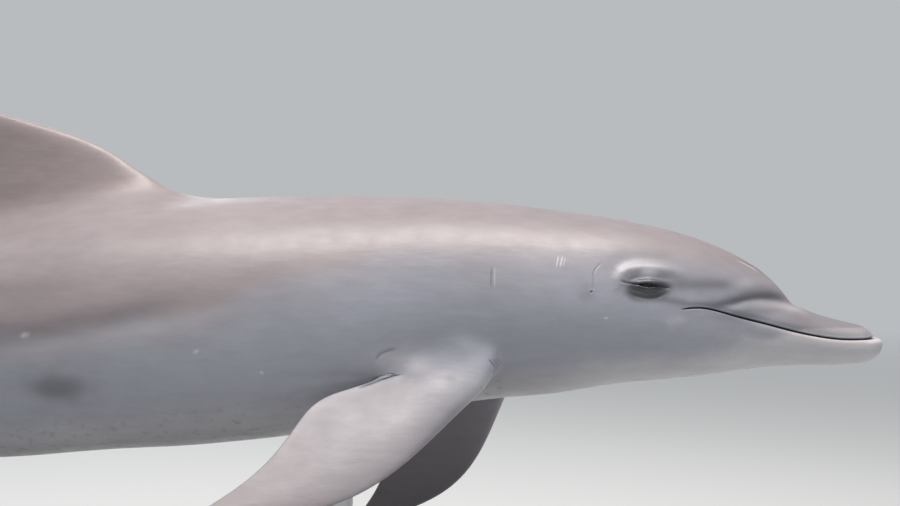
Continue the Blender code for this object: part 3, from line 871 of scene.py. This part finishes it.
for side in SIDES.values():
    FOLDS += [
        (side, armpit(side, (0.276, 0.4315), (0.3061, 0.4403), (0.3275, 0.4459), (0.3527, 0.4502)),
         -0.0022, 0.0014),
        (side, armpit(side, (0.302, 0.4462), (0.318, 0.4515), (0.3407, 0.452)), -0.0014, 0.0012),
        (side, armpit(side, (0.310, 0.4452), (0.326, 0.449), (0.340, 0.4488)), -0.0012, 0.001),
        (side, armpit(side, (0.4685, 0.4765), (0.4735, 0.4695), (0.479, 0.462)), -0.0014, 0.0011),
        (side, armpit(side, (0.474, 0.4775), (0.4785, 0.4705), (0.484, 0.463)), -0.0012, 0.001),
        (side, armpit(side, (0.4785, 0.4785), (0.4835, 0.4715), (0.4885, 0.4645)), -0.0009, 0.0009),
    ]
CREASE_BAND = (
    (0.780, 0.548), (0.805, 0.551), (0.825, 0.554), (0.843, 0.559), (0.867, 0.5615), (0.891, 0.560),
    (0.915, 0.555), (0.940, 0.546),
)
crease_height = spline(CREASE_BAND)


def fold_relief(points):
    """All the folds and ridges that follow a path."""
    height = np.zeros(len(points))
    for side, stops, rise, width in FOLDS:
        height += rise * stroke(points, side, stops, width)
    return height


def crease_relief(points):
    """The melon overhangs a furrow along the beak's base, and the beak swells below it."""
    x, z = points[:, 0], points[:, 2]
    above = z - crease_height(x)
    strength = ease(x, 0.785, 0.850) * (1 - ease(x, 0.915, 0.945))
    on_side = ease(np.abs(points[:, 1]), 0.002, 0.044)
    furrow, melon, beak = (-0.0034, 0, 0.006), (0.0026, 0.017, 0.011), (0.002, -0.013, 0.008)
    return strength * on_side * ridges(above, furrow, melon, beak)


def shoulder_relief(points):
    """The swelling over each flipper's root."""
    height = np.zeros(len(points))
    half_length, half_height = SWELLING_HALF_SIZE
    for side in SIDES.values():
        (x, z), = armpit(side, SWELLING_PLACE)
        on_side = ease(side * points[:, 1], 0.10, 0.14)
        out = np.hypot((points[:, 0] - x) / half_length, (points[:, 2] - z) / half_height)
        height += on_side * SWELLING_HEIGHT * np.exp(-out**2)
    return height


def body_relief(points):
    """The slight unevenness of a muscled body under its skin."""
    x, _, z = points.T
    swell = np.sin(17 * x + 3 * np.sin(6 * z)) * np.sin(23 * z + 5 * x)
    swell += 0.5 * np.sin(41 * x - 19 * z) * np.sin(31 * z)
    behind_head = 1 - ease(x, 0.60, 0.66)
    off_fins = 1 - ease(trunk_distance(points), 0.004, 0.020)
    return 0.0007 * swell * behind_head * off_fins


def belly_relief(points):
    """The navel, the genital slit with a slit beside it on each side, and the vent behind it."""
    x, y, z = points.T
    below = z < UNDERSIDE
    half_length, half_width = NAVEL_HALF_SIZE
    height = -NAVEL_DEPTH * below * bell(x, NAVEL_X, half_length) * bell(y, 0, half_width)
    for start, end, off, depth in SLITS:
        ends = ease(x, start - 0.004, start + 0.006) * (1 - ease(x, end - 0.006, end + 0.004))
        across = np.abs(np.abs(y) - off)
        lips, slit = (0.0008, 0.006, 0.005), (-depth, 0, SLIT_HALF_WIDTH)
        height += below * ends * ridges(across, lips, slit)
    return height


def blowhole_relief(points):
    """A crescent slit on top of the head, in a shallow dish, with a raised lip before and behind it."""
    across, beyond, above = blowhole_edge(points)
    ends = bell(beyond, 0, 0.003)
    slit = -0.0055 * np.exp(-np.abs(across / 0.0013) ** 3)
    rim = ridges(across, (0.0012, -0.005, 0.0035), (0.0008, 0.0045, 0.003))
    dish = -0.0014 * bell(np.hypot(across, beyond), 0.014, 0.009)
    return above * (ends * (slit + rim) + dish * bell(beyond, 0, 0.012))


def ear_relief(points):
    """The pinhole of the ear."""
    from_ear = np.hypot(points[:, 0] - EAR_X, points[:, 2] - EAR_Z)
    hole, rim = (-0.003, 0, 0.0013), (0.0004, 0.0035, 0.0015)
    return on_head_side(points) * ridges(from_ear, hole, rim)


def relief(points):
    """How far the small forms raise the skin at points."""
    parts = (
        mouth_relief, fold_relief, crease_relief, shoulder_relief, body_relief, belly_relief,
        blowhole_relief, ear_relief,
    )
    return sum(part(points) for part in parts)


def open_lids(points):
    """Sinks the skin in each lid opening to behind the eyeball's front, which leaves a clean lid rim."""
    forward, up = beside_eye(points)
    inside = ease(-opening_edge(forward, up), -0.0002, 0.0009)
    for side in SIDES.values():
        centre = eye_centre(side)
        offset = points - centre
        distance = np.linalg.norm(offset, axis=1)
        near = (side * points[:, 1] > BODY_SIDE) & (distance < OPENING_REACH)
        sunk = centre + offset * ((EYE_RADIUS - OPENING_SINK) / np.maximum(distance, 1e-6))[:, None]
        share = (inside * near)[:, None]
        points = points + share * (sunk - points)
    return points


# ---- The skin's colours, painted shade and highlights among them

def colour(red, green, blue):
    """An everyday 0-255 colour as a linear one."""
    share = np.array((red, green, blue)) / 255
    return np.where(share <= 0.04045, share / 12.92, ((share + 0.055) / 1.055) ** 2.4)


# The back's grey is the darker cape with a warm pink tint of painted sunlight; the flanks' grey has a cool
# blue tint of painted shade.
SUN_WARMED_BACK_GREY = colour(129, 118, 119)
SHADE_COOLED_FLANK_GREY = colour(135, 137, 147)
BELLY_GREY = colour(168, 167, 172)
# Dark grey for dark marks, and for painted shade in the folds, in the furrow above the beak and over the
# mouth line.
DARK_MARK_AND_SHADE_GREY = colour(32, 35, 43)
# Near black for the dark eye patch, and for painted shade along the lid slit, round the lid openings and in
# the mouth's slit.
SHADE_AND_EYE_PATCH_BLACK = colour(14, 16, 22)
LIP_PALE = colour(205, 192, 193)
# Pale grey for pale marks and scratches, and for painted highlights on the brow ridge, the beak's base and
# the right shoulder.
PALE_MARK_AND_HIGHLIGHT = colour(200, 192, 194)
EYE_BLACK = colour(12, 10, 11)
IRIS_BROWN = colour(34, 25, 20)
PUPIL_BLACK = colour(6, 6, 9)
PAINT_CHARCOAL = colour(46, 48, 51)
STEEL_GREY = colour(176, 178, 182)
FLOOR_GREY = colour(205, 206, 206)
FOLD_SHADE_PER_DEPTH = 180  # how much painted shade a furrow gets, for each metre of its depth

# The lower edge of the dark cape along each side.
CAPE_LINE = (
    (TAIL_END, 0.383), (-0.900, 0.412), (-0.550, 0.442), (-0.250, 0.490), (-0.100, 0.520), (0.050, 0.552),
    (0.140, 0.580), (0.270, 0.608), (0.420, 0.619), (0.570, 0.623), (0.700, 0.620), (0.810, 0.606),
    (0.880, 0.582), (0.932, 0.545),
)
cape_height = spline(CAPE_LINE)

# Soft streaks on both sides, among them painted shade and highlights: (stops, colour, strength, width).
STREAKS_AND_PAINTED_LIGHT = [
    (((0.705, 0.5827), (0.7753, 0.5816), (0.850, 0.578)), DARK_MARK_AND_SHADE_GREY, 0.44, 0.009),
    (((0.700, 0.566), (0.735, 0.5575), (0.765, 0.5535)), DARK_MARK_AND_SHADE_GREY, 0.42, 0.006),
    # Painted shade in the furrow where the melon overhangs the beak.
    (((0.765, 0.552), (0.8246, 0.555), (0.8671, 0.5625), (0.8913, 0.561), (0.928, 0.5515)),
     DARK_MARK_AND_SHADE_GREY, 0.55, 0.007),
    # Painted highlight on the upturned swelling of the beak's base, under that furrow.
    (((0.830, 0.543), (0.870, 0.547), (0.910, 0.546), (0.950, 0.535)), PALE_MARK_AND_HIGHLIGHT, 0.30, 0.0065),
    # Painted highlight along the brow ridge over the eye.
    (((0.645, 0.596), (0.660, 0.606), (0.698, 0.609), (0.730, 0.603)), PALE_MARK_AND_HIGHLIGHT, 0.20, 0.006),
    (((0.752, 0.542), (0.742, 0.530), (0.720, 0.523)), PALE_MARK_AND_HIGHLIGHT, 0.14, 0.010),
    (((0.600, 0.555), (0.608, 0.572), (0.615, 0.590)), DARK_MARK_AND_SHADE_GREY, 0.14, 0.010),
    (((0.623, 0.605), (0.660, 0.627), (0.716, 0.626), (0.755, 0.617)), DARK_MARK_AND_SHADE_GREY, 0.24, 0.011),
    (((-0.420, 0.485), (-0.255, 0.508), (-0.150, 0.521), (-0.020, 0.550), (0.090, 0.575)),
     DARK_MARK_AND_SHADE_GREY, 0.34, 0.020),
    (((-0.400, 0.560), (-0.250, 0.575), (-0.140, 0.585)), DARK_MARK_AND_SHADE_GREY, 0.16, 0.014),
    (((-0.360, 0.460), (-0.255, 0.476), (-0.125, 0.502), (0.032, 0.530), (0.165, 0.562)),
     PALE_MARK_AND_HIGHLIGHT, 0.12, 0.015),
]
# Patches, among them painted shade and a painted highlight: (side or None for both, x, z, half length, half
# height, colour, strength, sharpness of the edge).
PATCHES_AND_PAINTED_LIGHT = [
    # The dark eye patch, partly the skin's own and partly painted shadow under the bulge of the lower lid.
    (None, EYE_X - 0.001, EYE_Z - 0.007, 0.034, 0.0165, SHADE_AND_EYE_PATCH_BLACK, 0.80, 6),
    # Painted shade along the slit between the lids and in the creases at its ends.
    (None, EYE_X - 0.002, EYE_Z - 0.001, 0.031, 0.0065, SHADE_AND_EYE_PATCH_BLACK, 0.90, 4),
    (None, 0.869, 0.5095, 0.028, 0.010, DARK_MARK_AND_SHADE_GREY, 0.16, 4),
    # A paler patch over the right flipper's root, partly paler skin and partly a painted highlight on the
    # swelling there.
    (RIGHT, 0.345, 0.469, 0.048, 0.019, PALE_MARK_AND_HIGHLIGHT, 0.22, 3),
    (RIGHT, -0.1726, 0.4276, 0.044, 0.020, DARK_MARK_AND_SHADE_GREY, 0.52, 3),
    (RIGHT, 0.417, 0.4484, 0.009, 0.006, DARK_MARK_AND_SHADE_GREY, 0.30, 3),
    (RIGHT, -0.218, 0.506, 0.006, 0.004, PALE_MARK_AND_HIGHLIGHT, 0.45, 3),
    (RIGHT, 0.044, 0.485, 0.003, 0.003, PALE_MARK_AND_HIGHLIGHT, 0.60, 3),
]


def fin_shares(points):
    """How much points belong to a flipper, to the dorsal fin and to a fluke, and how far out on a flipper."""
    outside = ease(trunk_distance(points), 0.003, 0.030)
    x, y, z = points.T
    flipper = np.zeros(len(points))
    out = np.zeros(len(points))
    for hold in FLIPPERS.values():
        span, _, height = flipper_place(hold, points)
        near = (np.abs(height) < 0.05) & (span > -0.06) & (hold["side"] * y > BODY_SIDE) & (x < HEAD_BACK)
        flipper = np.where(near, outside * ease(span, -0.06, 0.04), flipper)
        out = np.where(near, np.clip(span / FLIPPER_TIP, 0, 1), out)
    dorsal = outside * (z > 0.66) * (x < 0.15)
    fluke = outside * (x < -1.05)
    return flipper, dorsal, fluke, out


def skin_colour_and_painted_light(points):
    """The colour of each point of the skin before its mottling, painted shade and highlights included, and
    how much of it is spotted belly.
    """
    x, y, z = points.T
    trunk_top, trunk_bottom = TRUNK["top"](x), TRUNK["bottom"](x)
    height = (z - trunk_bottom) / (trunk_top - trunk_bottom)
    # The flanks' grey, with its cool tint of painted shade, lies under everything else.
    shade = np.tile(SHADE_COOLED_FLANK_GREY, (len(points), 1))

    def paint(towards, amount):
        nonlocal shade
        shade = shade + np.clip(amount, 0, 1)[:, None] * (towards - shade)

    wave = 0.010 * np.sin(9 * x + 1.0) + 0.005 * np.sin(31 * x) + 0.003 * np.sin(70 * x + 2)
    above_cape = z - cape_height(x) + wave * ease(-x, -0.6, -0.3)
    # The darker cape above its line, in the back grey with its warm tint of painted sunlight.
    paint(SUN_WARMED_BACK_GREY, 0.35 * ease(above_cape, -0.060, -0.005))
    paint(SUN_WARMED_BACK_GREY, 0.75 * ease(above_cape, -0.012, 0.022))
    belly = ease(-height + wave, -0.24, -0.06)
    flipper, dorsal, fluke, out = fin_shares(points)
    belly = belly * (1 - flipper) * (1 - dorsal) * (1 - 0.5 * fluke)
    spotted = belly * (1 - ease(x, 0.45, 0.60)) * ease(x, -1.10, -0.80)
    paint(BELLY_GREY, belly)
    upper_face = ease(z - fluke_middle(x, np.abs(y)), -0.004, 0.003)
    # Flippers, dorsal fin and the flukes' upper faces in the back grey with its painted sunlight, more of it
    # towards each flipper's tip.
    paint(SUN_WARMED_BACK_GREY, flipper * (0.40 + 0.45 * out) + dorsal + 0.6 * fluke * upper_face)
    gap, ahead = mouth_gap(points)
    paint(BELLY_GREY, 0.40 * ease(-gap, 0.004, 0.030) * ease(ahead, -0.02, 0.10))
    upper_jaw = ease(gap, 0.002, 0.012) * ease(ahead, 0.06, 0.22)
    # The upper jaw darker, in the back grey with its painted sunlight and a little dark grey.
    paint(SUN_WARMED_BACK_GREY, 0.45 * upper_jaw)
    paint(DARK_MARK_AND_SHADE_GREY, 0.20 * upper_jaw)
    for stops, tint, strength, width in STREAKS_AND_PAINTED_LIGHT:
        paint(tint, strength * stroke(points, None, stops, width))
    ragged = 1 + 0.10 * np.sin(110 * x + 60 * z) * np.sin(90 * z - 40 * x)
    for side, at_x, at_z, half_length, half_height, tint, strength, sharpness in PATCHES_AND_PAINTED_LIGHT:
        away = ragged * np.hypot((x - at_x) / half_length, (z - at_z) / half_height)
        on_side = (np.abs(y) if side is None else side * y) > BODY_SIDE
        paint(tint, strength * on_side * np.exp(-away**sharpness))
    for side, stops, lightness, width in MARKS:
        tint = PALE_MARK_AND_HIGHLIGHT if lightness > 0 else DARK_MARK_AND_SHADE_GREY
        paint(tint, 0.7 * abs(lightness) * stroke(points, side, stops, width))
    # Painted shade in each furrow, darker the deeper it is.
    for side, stops, rise, width in FOLDS:
        if rise < 0:
            paint(DARK_MARK_AND_SHADE_GREY, -FOLD_SHADE_PER_DEPTH * rise * stroke(points, side, stops, width))
    # Painted shade just above the mouth line, under the tucked upper lip.
    paint(DARK_MARK_AND_SHADE_GREY, 0.4 * bell(gap, 0.0035, 0.004) * ease(ahead, -0.01, 0.02))
    paint(LIP_PALE, 0.50 * bell(gap, -0.0055, 0.0045) * ease(ahead, 0.07, 0.20))
    # Painted shade in the slit of the closed mouth.
    in_line = np.exp(-np.abs(gap / (0.9 * mouth_half_gap(ahead))) ** 4)
    paint(SHADE_AND_EYE_PATCH_BLACK, 1.1 * in_line * ease(ahead, -0.008, 0.004))
    # Painted shade round the rim of each lid opening, where the lids meet the eyeball.
    rim = np.abs(opening_edge(*beside_eye(points)))
    paint(SHADE_AND_EYE_PATCH_BLACK, 0.85 * bell(rim, 0, 0.0018) * on_head_side(points))
    return shade, spotted


# ---- Materials

def new_material(name):
    material = bpy.data.materials.new(name)
    material.use_nodes = True
    tree = material.node_tree
    return material, tree, tree.nodes["Principled BSDF"]


def noise(tree, scale, detail=4.0, stretch=None):
    """A noise texture over the object's own coordinates, stretched along an axis if asked."""
    place = tree.nodes.new("ShaderNodeTexCoord").outputs["Object"]
    if stretch is not None:
        mapping = tree.nodes.new("ShaderNodeMapping")
        mapping.inputs["Scale"].default_value = stretch
        tree.links.new(place, mapping.inputs["Vector"])
        place = mapping.outputs["Vector"]
    texture = tree.nodes.new("ShaderNodeTexNoise")
    texture.inputs["Scale"].default_value = scale
    texture.inputs["Detail"].default_value = detail
    tree.links.new(place, texture.inputs["Vector"])
    return texture.outputs["Fac"]


def spread(tree, value, low, high, to_low, to_high):
    """Maps a value's range onto another, held at its ends."""
    node = tree.nodes.new("ShaderNodeMapRange")
    for key, amount in (("From Min", low), ("From Max", high), ("To Min", to_low), ("To Max", to_high)):
        node.inputs[key].default_value = amount
    tree.links.new(value, node.inputs["Value"])
    return node.outputs["Result"]


def mottle(tree, scale, low, high, detail=4.0, stretch=None):
    """A noise that varies smoothly between two values."""
    return spread(tree, noise(tree, scale, detail, stretch), 0.3, 0.7, low, high)


def multiply(tree, base, factor):
    """A colour made lighter or darker by a value."""
    node = tree.nodes.new("ShaderNodeVectorMath")
    node.operation = "SCALE"
    tree.links.new(base, node.inputs[0])
    tree.links.new(factor, node.inputs["Scale"])
    return node.outputs["Vector"]


def calculate(tree, operation, first, second):
    """A Math node's result from two values, the first of which may be a plain number."""
    node = tree.nodes.new("ShaderNodeMath")
    node.operation = operation
    if isinstance(first, float):
        node.inputs[0].default_value = first
    else:
        tree.links.new(first, node.inputs[0])
    tree.links.new(second, node.inputs[1])
    return node.outputs[0]


def stored_point_colours(tree):
    """What paint_points stored: a colour, with the skin's painted shade and highlights in it, and the share
    of spotted belly as its alpha.
    """
    node = tree.nodes.new("ShaderNodeAttribute")
    node.attribute_name = "point_colours"
    return node.outputs["Color"], node.outputs["Alpha"]


def base_coat(tree, shader, shade, scale, low, high):
    """One base colour, a little lighter and darker from place to place."""
    base = tree.nodes.new("ShaderNodeRGB")
    base.outputs[0].default_value = (*shade, 1.0)
    shade = multiply(tree, base.outputs[0], mottle(tree, scale, low, high))
    tree.links.new(shade, shader.inputs["Base Color"])


def bump(tree, height, distance, under=None):
    """A normal raised by a height, over another normal if one is given."""
    node = tree.nodes.new("ShaderNodeBump")
    node.inputs["Distance"].default_value = distance
    node.inputs["Strength"].default_value = 1.0
    tree.links.new(height, node.inputs["Height"])
    if under is not None:
        tree.links.new(under, node.inputs["Normal"])
    return node.outputs["Normal"]


def skin_material():
    """Satin grey skin. Its colours, painted shade and highlights included, come from the mesh, and its
    mottling and fine relief from noise.
    """
    material, tree, shader = new_material("dolphin_skin")
    shade, belly = stored_point_colours(tree)
    for scale, detail, stretch, amount in (
        (7, 5, (0.5, 1, 1), 0.10), (60, 4, (0.4, 1, 1), 0.05), (500, 2, None, 0.03),
    ):
        shade = multiply(tree, shade, mottle(tree, scale, 1 - amount, 1 + amount, detail, stretch))
    spots = spread(tree, noise(tree, 90, 0), 0.66, 0.74, 0.0, 0.22)
    paleness = calculate(tree, "SUBTRACT", 1.0, calculate(tree, "MULTIPLY", spots, belly))
    shade = multiply(tree, shade, paleness)
    tree.links.new(shade, shader.inputs["Base Color"])
    tree.links.new(mottle(tree, 35, 0.40, 0.52, detail=3), shader.inputs["Roughness"])
    relief_normal = bump(tree, noise(tree, 90, 3, (0.3, 1, 1)), 0.0004)
    relief_normal = bump(tree, noise(tree, 900, 2), 0.00008, relief_normal)
    tree.links.new(relief_normal, shader.inputs["Normal"])
    shader.inputs["Coat Weight"].default_value = 0.12
    shader.inputs["Coat Roughness"].default_value = 0.25
    return material


def eye_material():
    """A glossy dark eye. The colours of its iris and pupil come from the mesh."""
    material, tree, shader = new_material("dolphin_eye")
    shade, _ = stored_point_colours(tree)
    tree.links.new(multiply(tree, shade, mottle(tree, 900, 0.7, 1.3)), shader.inputs["Base Color"])
    shader.inputs["Roughness"].default_value = 0.08
    shader.inputs["IOR"].default_value = 1.38
    return material


def paint_material():
    """Charcoal paint with a fine satin orange peel."""
    material, tree, shader = new_material("stand_paint")
    base_coat(tree, shader, PAINT_CHARCOAL, 5, 0.92, 1.08)
    tree.links.new(mottle(tree, 40, 0.42, 0.50), shader.inputs["Roughness"])
    tree.links.new(bump(tree, noise(tree, 420, 2), 0.0002), shader.inputs["Normal"])
    return material


def steel_material():
    """Steel brushed round its axis, with faint smudges."""
    material, tree, shader = new_material("stand_steel")
    base_coat(tree, shader, STEEL_GREY, 14, 0.90, 1.05)
    brushed = noise(tree, 30, 6, (1, 1, 60))
    tree.links.new(spread(tree, brushed, 0.3, 0.7, 0.26, 0.42), shader.inputs["Roughness"])
    tree.links.new(bump(tree, brushed, 0.00008), shader.inputs["Normal"])
    shader.inputs["Metallic"].default_value = 1.0
    return material


def paint_points(mesh, shades, spotted):
    """Stores a colour for each point of a mesh, and how much of it is spotted belly."""
    layer = mesh.attributes.new("point_colours", "FLOAT_COLOR", "POINT")
    layer.data.foreach_set("color", np.c_[shades, spotted].astype(np.float32).ravel())


# ---- Pieces

def add_skin():
    """One skin over all the flesh: spaced out, refined, given its relief and then its colours."""
    body = rough_body()
    mesh = body.data
    edges = get_edges(mesh)
    set_points(mesh, even_out(settle(get_points(mesh), rounds=5), edges, share=0.5, rounds=5))
    refine(body)
    edges = get_edges(mesh)
    points = settle(even_out(get_points(mesh), edges, share=0.4, rounds=4), rounds=2)
    points = unfold(mesh, points, edges)
    rest = points
    points = points + relief(points)[:, None] * normals_at(points)
    points = open_lids(points)
    set_points(mesh, points)
    paint_points(mesh, *skin_colour_and_painted_light(rest))
    mesh.materials.clear()
    mesh.materials.append(skin_material())
    mesh.shade_smooth()
    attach(body, "root")
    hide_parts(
        "head", "upper_jaw", "lower_jaw", "neck", "chest", "abdomen", "tail_stock", "dorsal_fin",
        "flipper_left", "flipper_right", "fluke_left", "fluke_right",
    )


def add_eyes():
    """Each eyeball, a ball with its iris and wide pupil painted on."""
    finish = eye_material()
    for label, side in SIDES.items():
        bm = bmesh.new()
        bmesh.ops.create_uvsphere(bm, u_segments=64, v_segments=48, radius=EYE_RADIUS)
        eye = new_object(f"eyeball_{label}", bm)
        mesh = eye.data
        points = get_points(mesh)
        # The eye looks outwards and a little forwards and down.
        look = np.array((0.16, side, -0.05))
        look /= np.linalg.norm(look)
        in_front = points @ look > 0
        offset = points - np.outer(points @ look, look)
        wide = np.hypot(offset[:, 0] / PUPIL_HALF_SIZE[0], offset[:, 2] / PUPIL_HALF_SIZE[1])
        from_middle = np.linalg.norm(offset, axis=1)
        shades = np.tile(EYE_BLACK, (len(points), 1))
        iris = in_front * (1 - ease(from_middle, *IRIS_EDGE))
        shades += iris[:, None] * (IRIS_BROWN - shades)
        pupil = in_front * (1 - ease(wide, 0.9, 1.1))
        shades += pupil[:, None] * (PUPIL_BLACK - shades)
        set_points(mesh, points + eye_centre(side))
        paint_points(mesh, shades, np.zeros(len(shades)))
        mesh.materials.append(finish)
        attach(eye, "root")
        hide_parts(f"eye_{label}")


def add_column(label, steel):
    """A rod with its flange and collar, turned round where the solids have flat sides."""
    flange, collar, rod = (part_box(f"stand_{part}_{label}") for part in ("flange", "collar", "rod"))
    flange_radius, collar_radius, rod_radius = ((high.x - low.x) / 2 for low, high in (flange, collar, rod))
    corner = COLUMN_CHAMFER
    profile = (
        (flange_radius - corner, flange[0].z), (flange_radius, flange[0].z + corner),
        (flange_radius, flange[1].z - corner), (flange_radius - corner, flange[1].z),
        (collar_radius, flange[1].z), (collar_radius, collar[1].z - corner),
        (collar_radius - corner, collar[1].z), (rod_radius, collar[1].z), (rod_radius, rod[1].z),
    )
    angles = [2 * math.pi * k / COLUMN_SIDES for k in range(COLUMN_SIDES)]
    middle_x = (rod[0].x + rod[1].x) / 2
    bm = bmesh.new()
    add_loft(bm, [
        [(middle_x + radius * math.cos(angle), radius * math.sin(angle), height) for angle in angles]
        for radius, height in profile
    ])
    column = new_object(f"column_{label}", bm)
    column.data.set_sharp_from_angle(angle=COLUMN_SHARP_ANGLE)
    column.data.materials.append(steel)
    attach(column, "root")
    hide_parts(*(f"stand_{part}_{label}" for part in ("flange", "collar", "rod")))


def finish_stand():
    """Paints the stand's base and stands the two columns on it."""
    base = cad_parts["stand_base"]
    base.data.materials.clear()
    base.data.materials.append(paint_material())
    for polygon in base.data.polygons:
        polygon.material_index = 0
    steel = steel_material()
    for label in ("front", "rear"):
        add_column(label, steel)


# ---- Studio

def add_floor():
    """A wide disc that fades out far from the stand."""
    bm = bmesh.new()
    bmesh.ops.create_circle(bm, cap_ends=True, segments=96, radius=14)
    floor = new_object("floor", bm)
    material, tree, shader = new_material("pale_floor")
    shader.inputs["Base Color"].default_value = (*FLOOR_GREY, 1.0)
    shader.inputs["Roughness"].default_value = 0.75
    away = tree.nodes.new("ShaderNodeVectorMath")
    away.operation = "LENGTH"
    tree.links.new(tree.nodes.new("ShaderNodeTexCoord").outputs["Object"], away.inputs[0])
    tree.links.new(spread(tree, away.outputs["Value"], 2.0, 8.0, 1.0, 0.0), shader.inputs["Alpha"])
    floor.data.materials.append(material)


def aim(obj, place, target):
    """Puts a light or the camera at a place, facing a target."""
    obj.location = place
    obj.rotation_euler = (Vector(target) - Vector(place)).to_track_quat("-Z", "Y").to_euler()


def add_light(name, place, target, size, power, tint=(1, 1, 1)):
    light = bpy.data.lights.new(name, "AREA")
    light.shape = "RECTANGLE"
    light.size, light.size_y = size
    light.energy = power
    light.color = tint
    aim(link_object(name, light), place, target)


def add_studio():
    """A pale floor, a large soft light overhead, weak ones by the camera and behind, and a pale surround."""
    add_floor()
    middle = (0.1, 0, 0.5)
    add_light("overhead", (0.3, -0.7, 2.8), middle, (2.8, 0.9), 105, (1.0, 0.957, 0.91))
    add_light("front", (1.6, -3.2, 1.7), middle, (2.0, 2.0), 5)
    add_light("behind", (-1.8, 2.6, 2.0), middle, (2.0, 1.5), 20, (0.96, 0.98, 1.0))
    world = bpy.data.worlds.new("studio")
    world.use_nodes = True
    surround = world.node_tree.nodes["Background"]
    surround.inputs["Color"].default_value = (0.88, 0.91, 0.94, 1.0)
    surround.inputs["Strength"].default_value = 0.55
    bpy.context.scene.world = world
    bpy.context.scene.view_settings.view_transform = "Standard"


def add_camera():
    """Looks level at the dolphin's right side, a little from the front."""
    azimuth = math.radians(6)
    distance = 1.75
    target = Vector((0.396, 0.0, 0.628))
    back = Vector((math.sin(azimuth), -math.cos(azimuth), 0.0))
    camera = bpy.data.cameras.new("camera")
    camera.sensor_width = 36.0
    camera.lens = 44.14
    camera.clip_end = 60
    obj = link_object("camera", camera)
    aim(obj, target + distance * back, target)
    bpy.context.scene.camera = obj


add_skin()
add_eyes()
finish_stand()
add_studio()
add_camera()
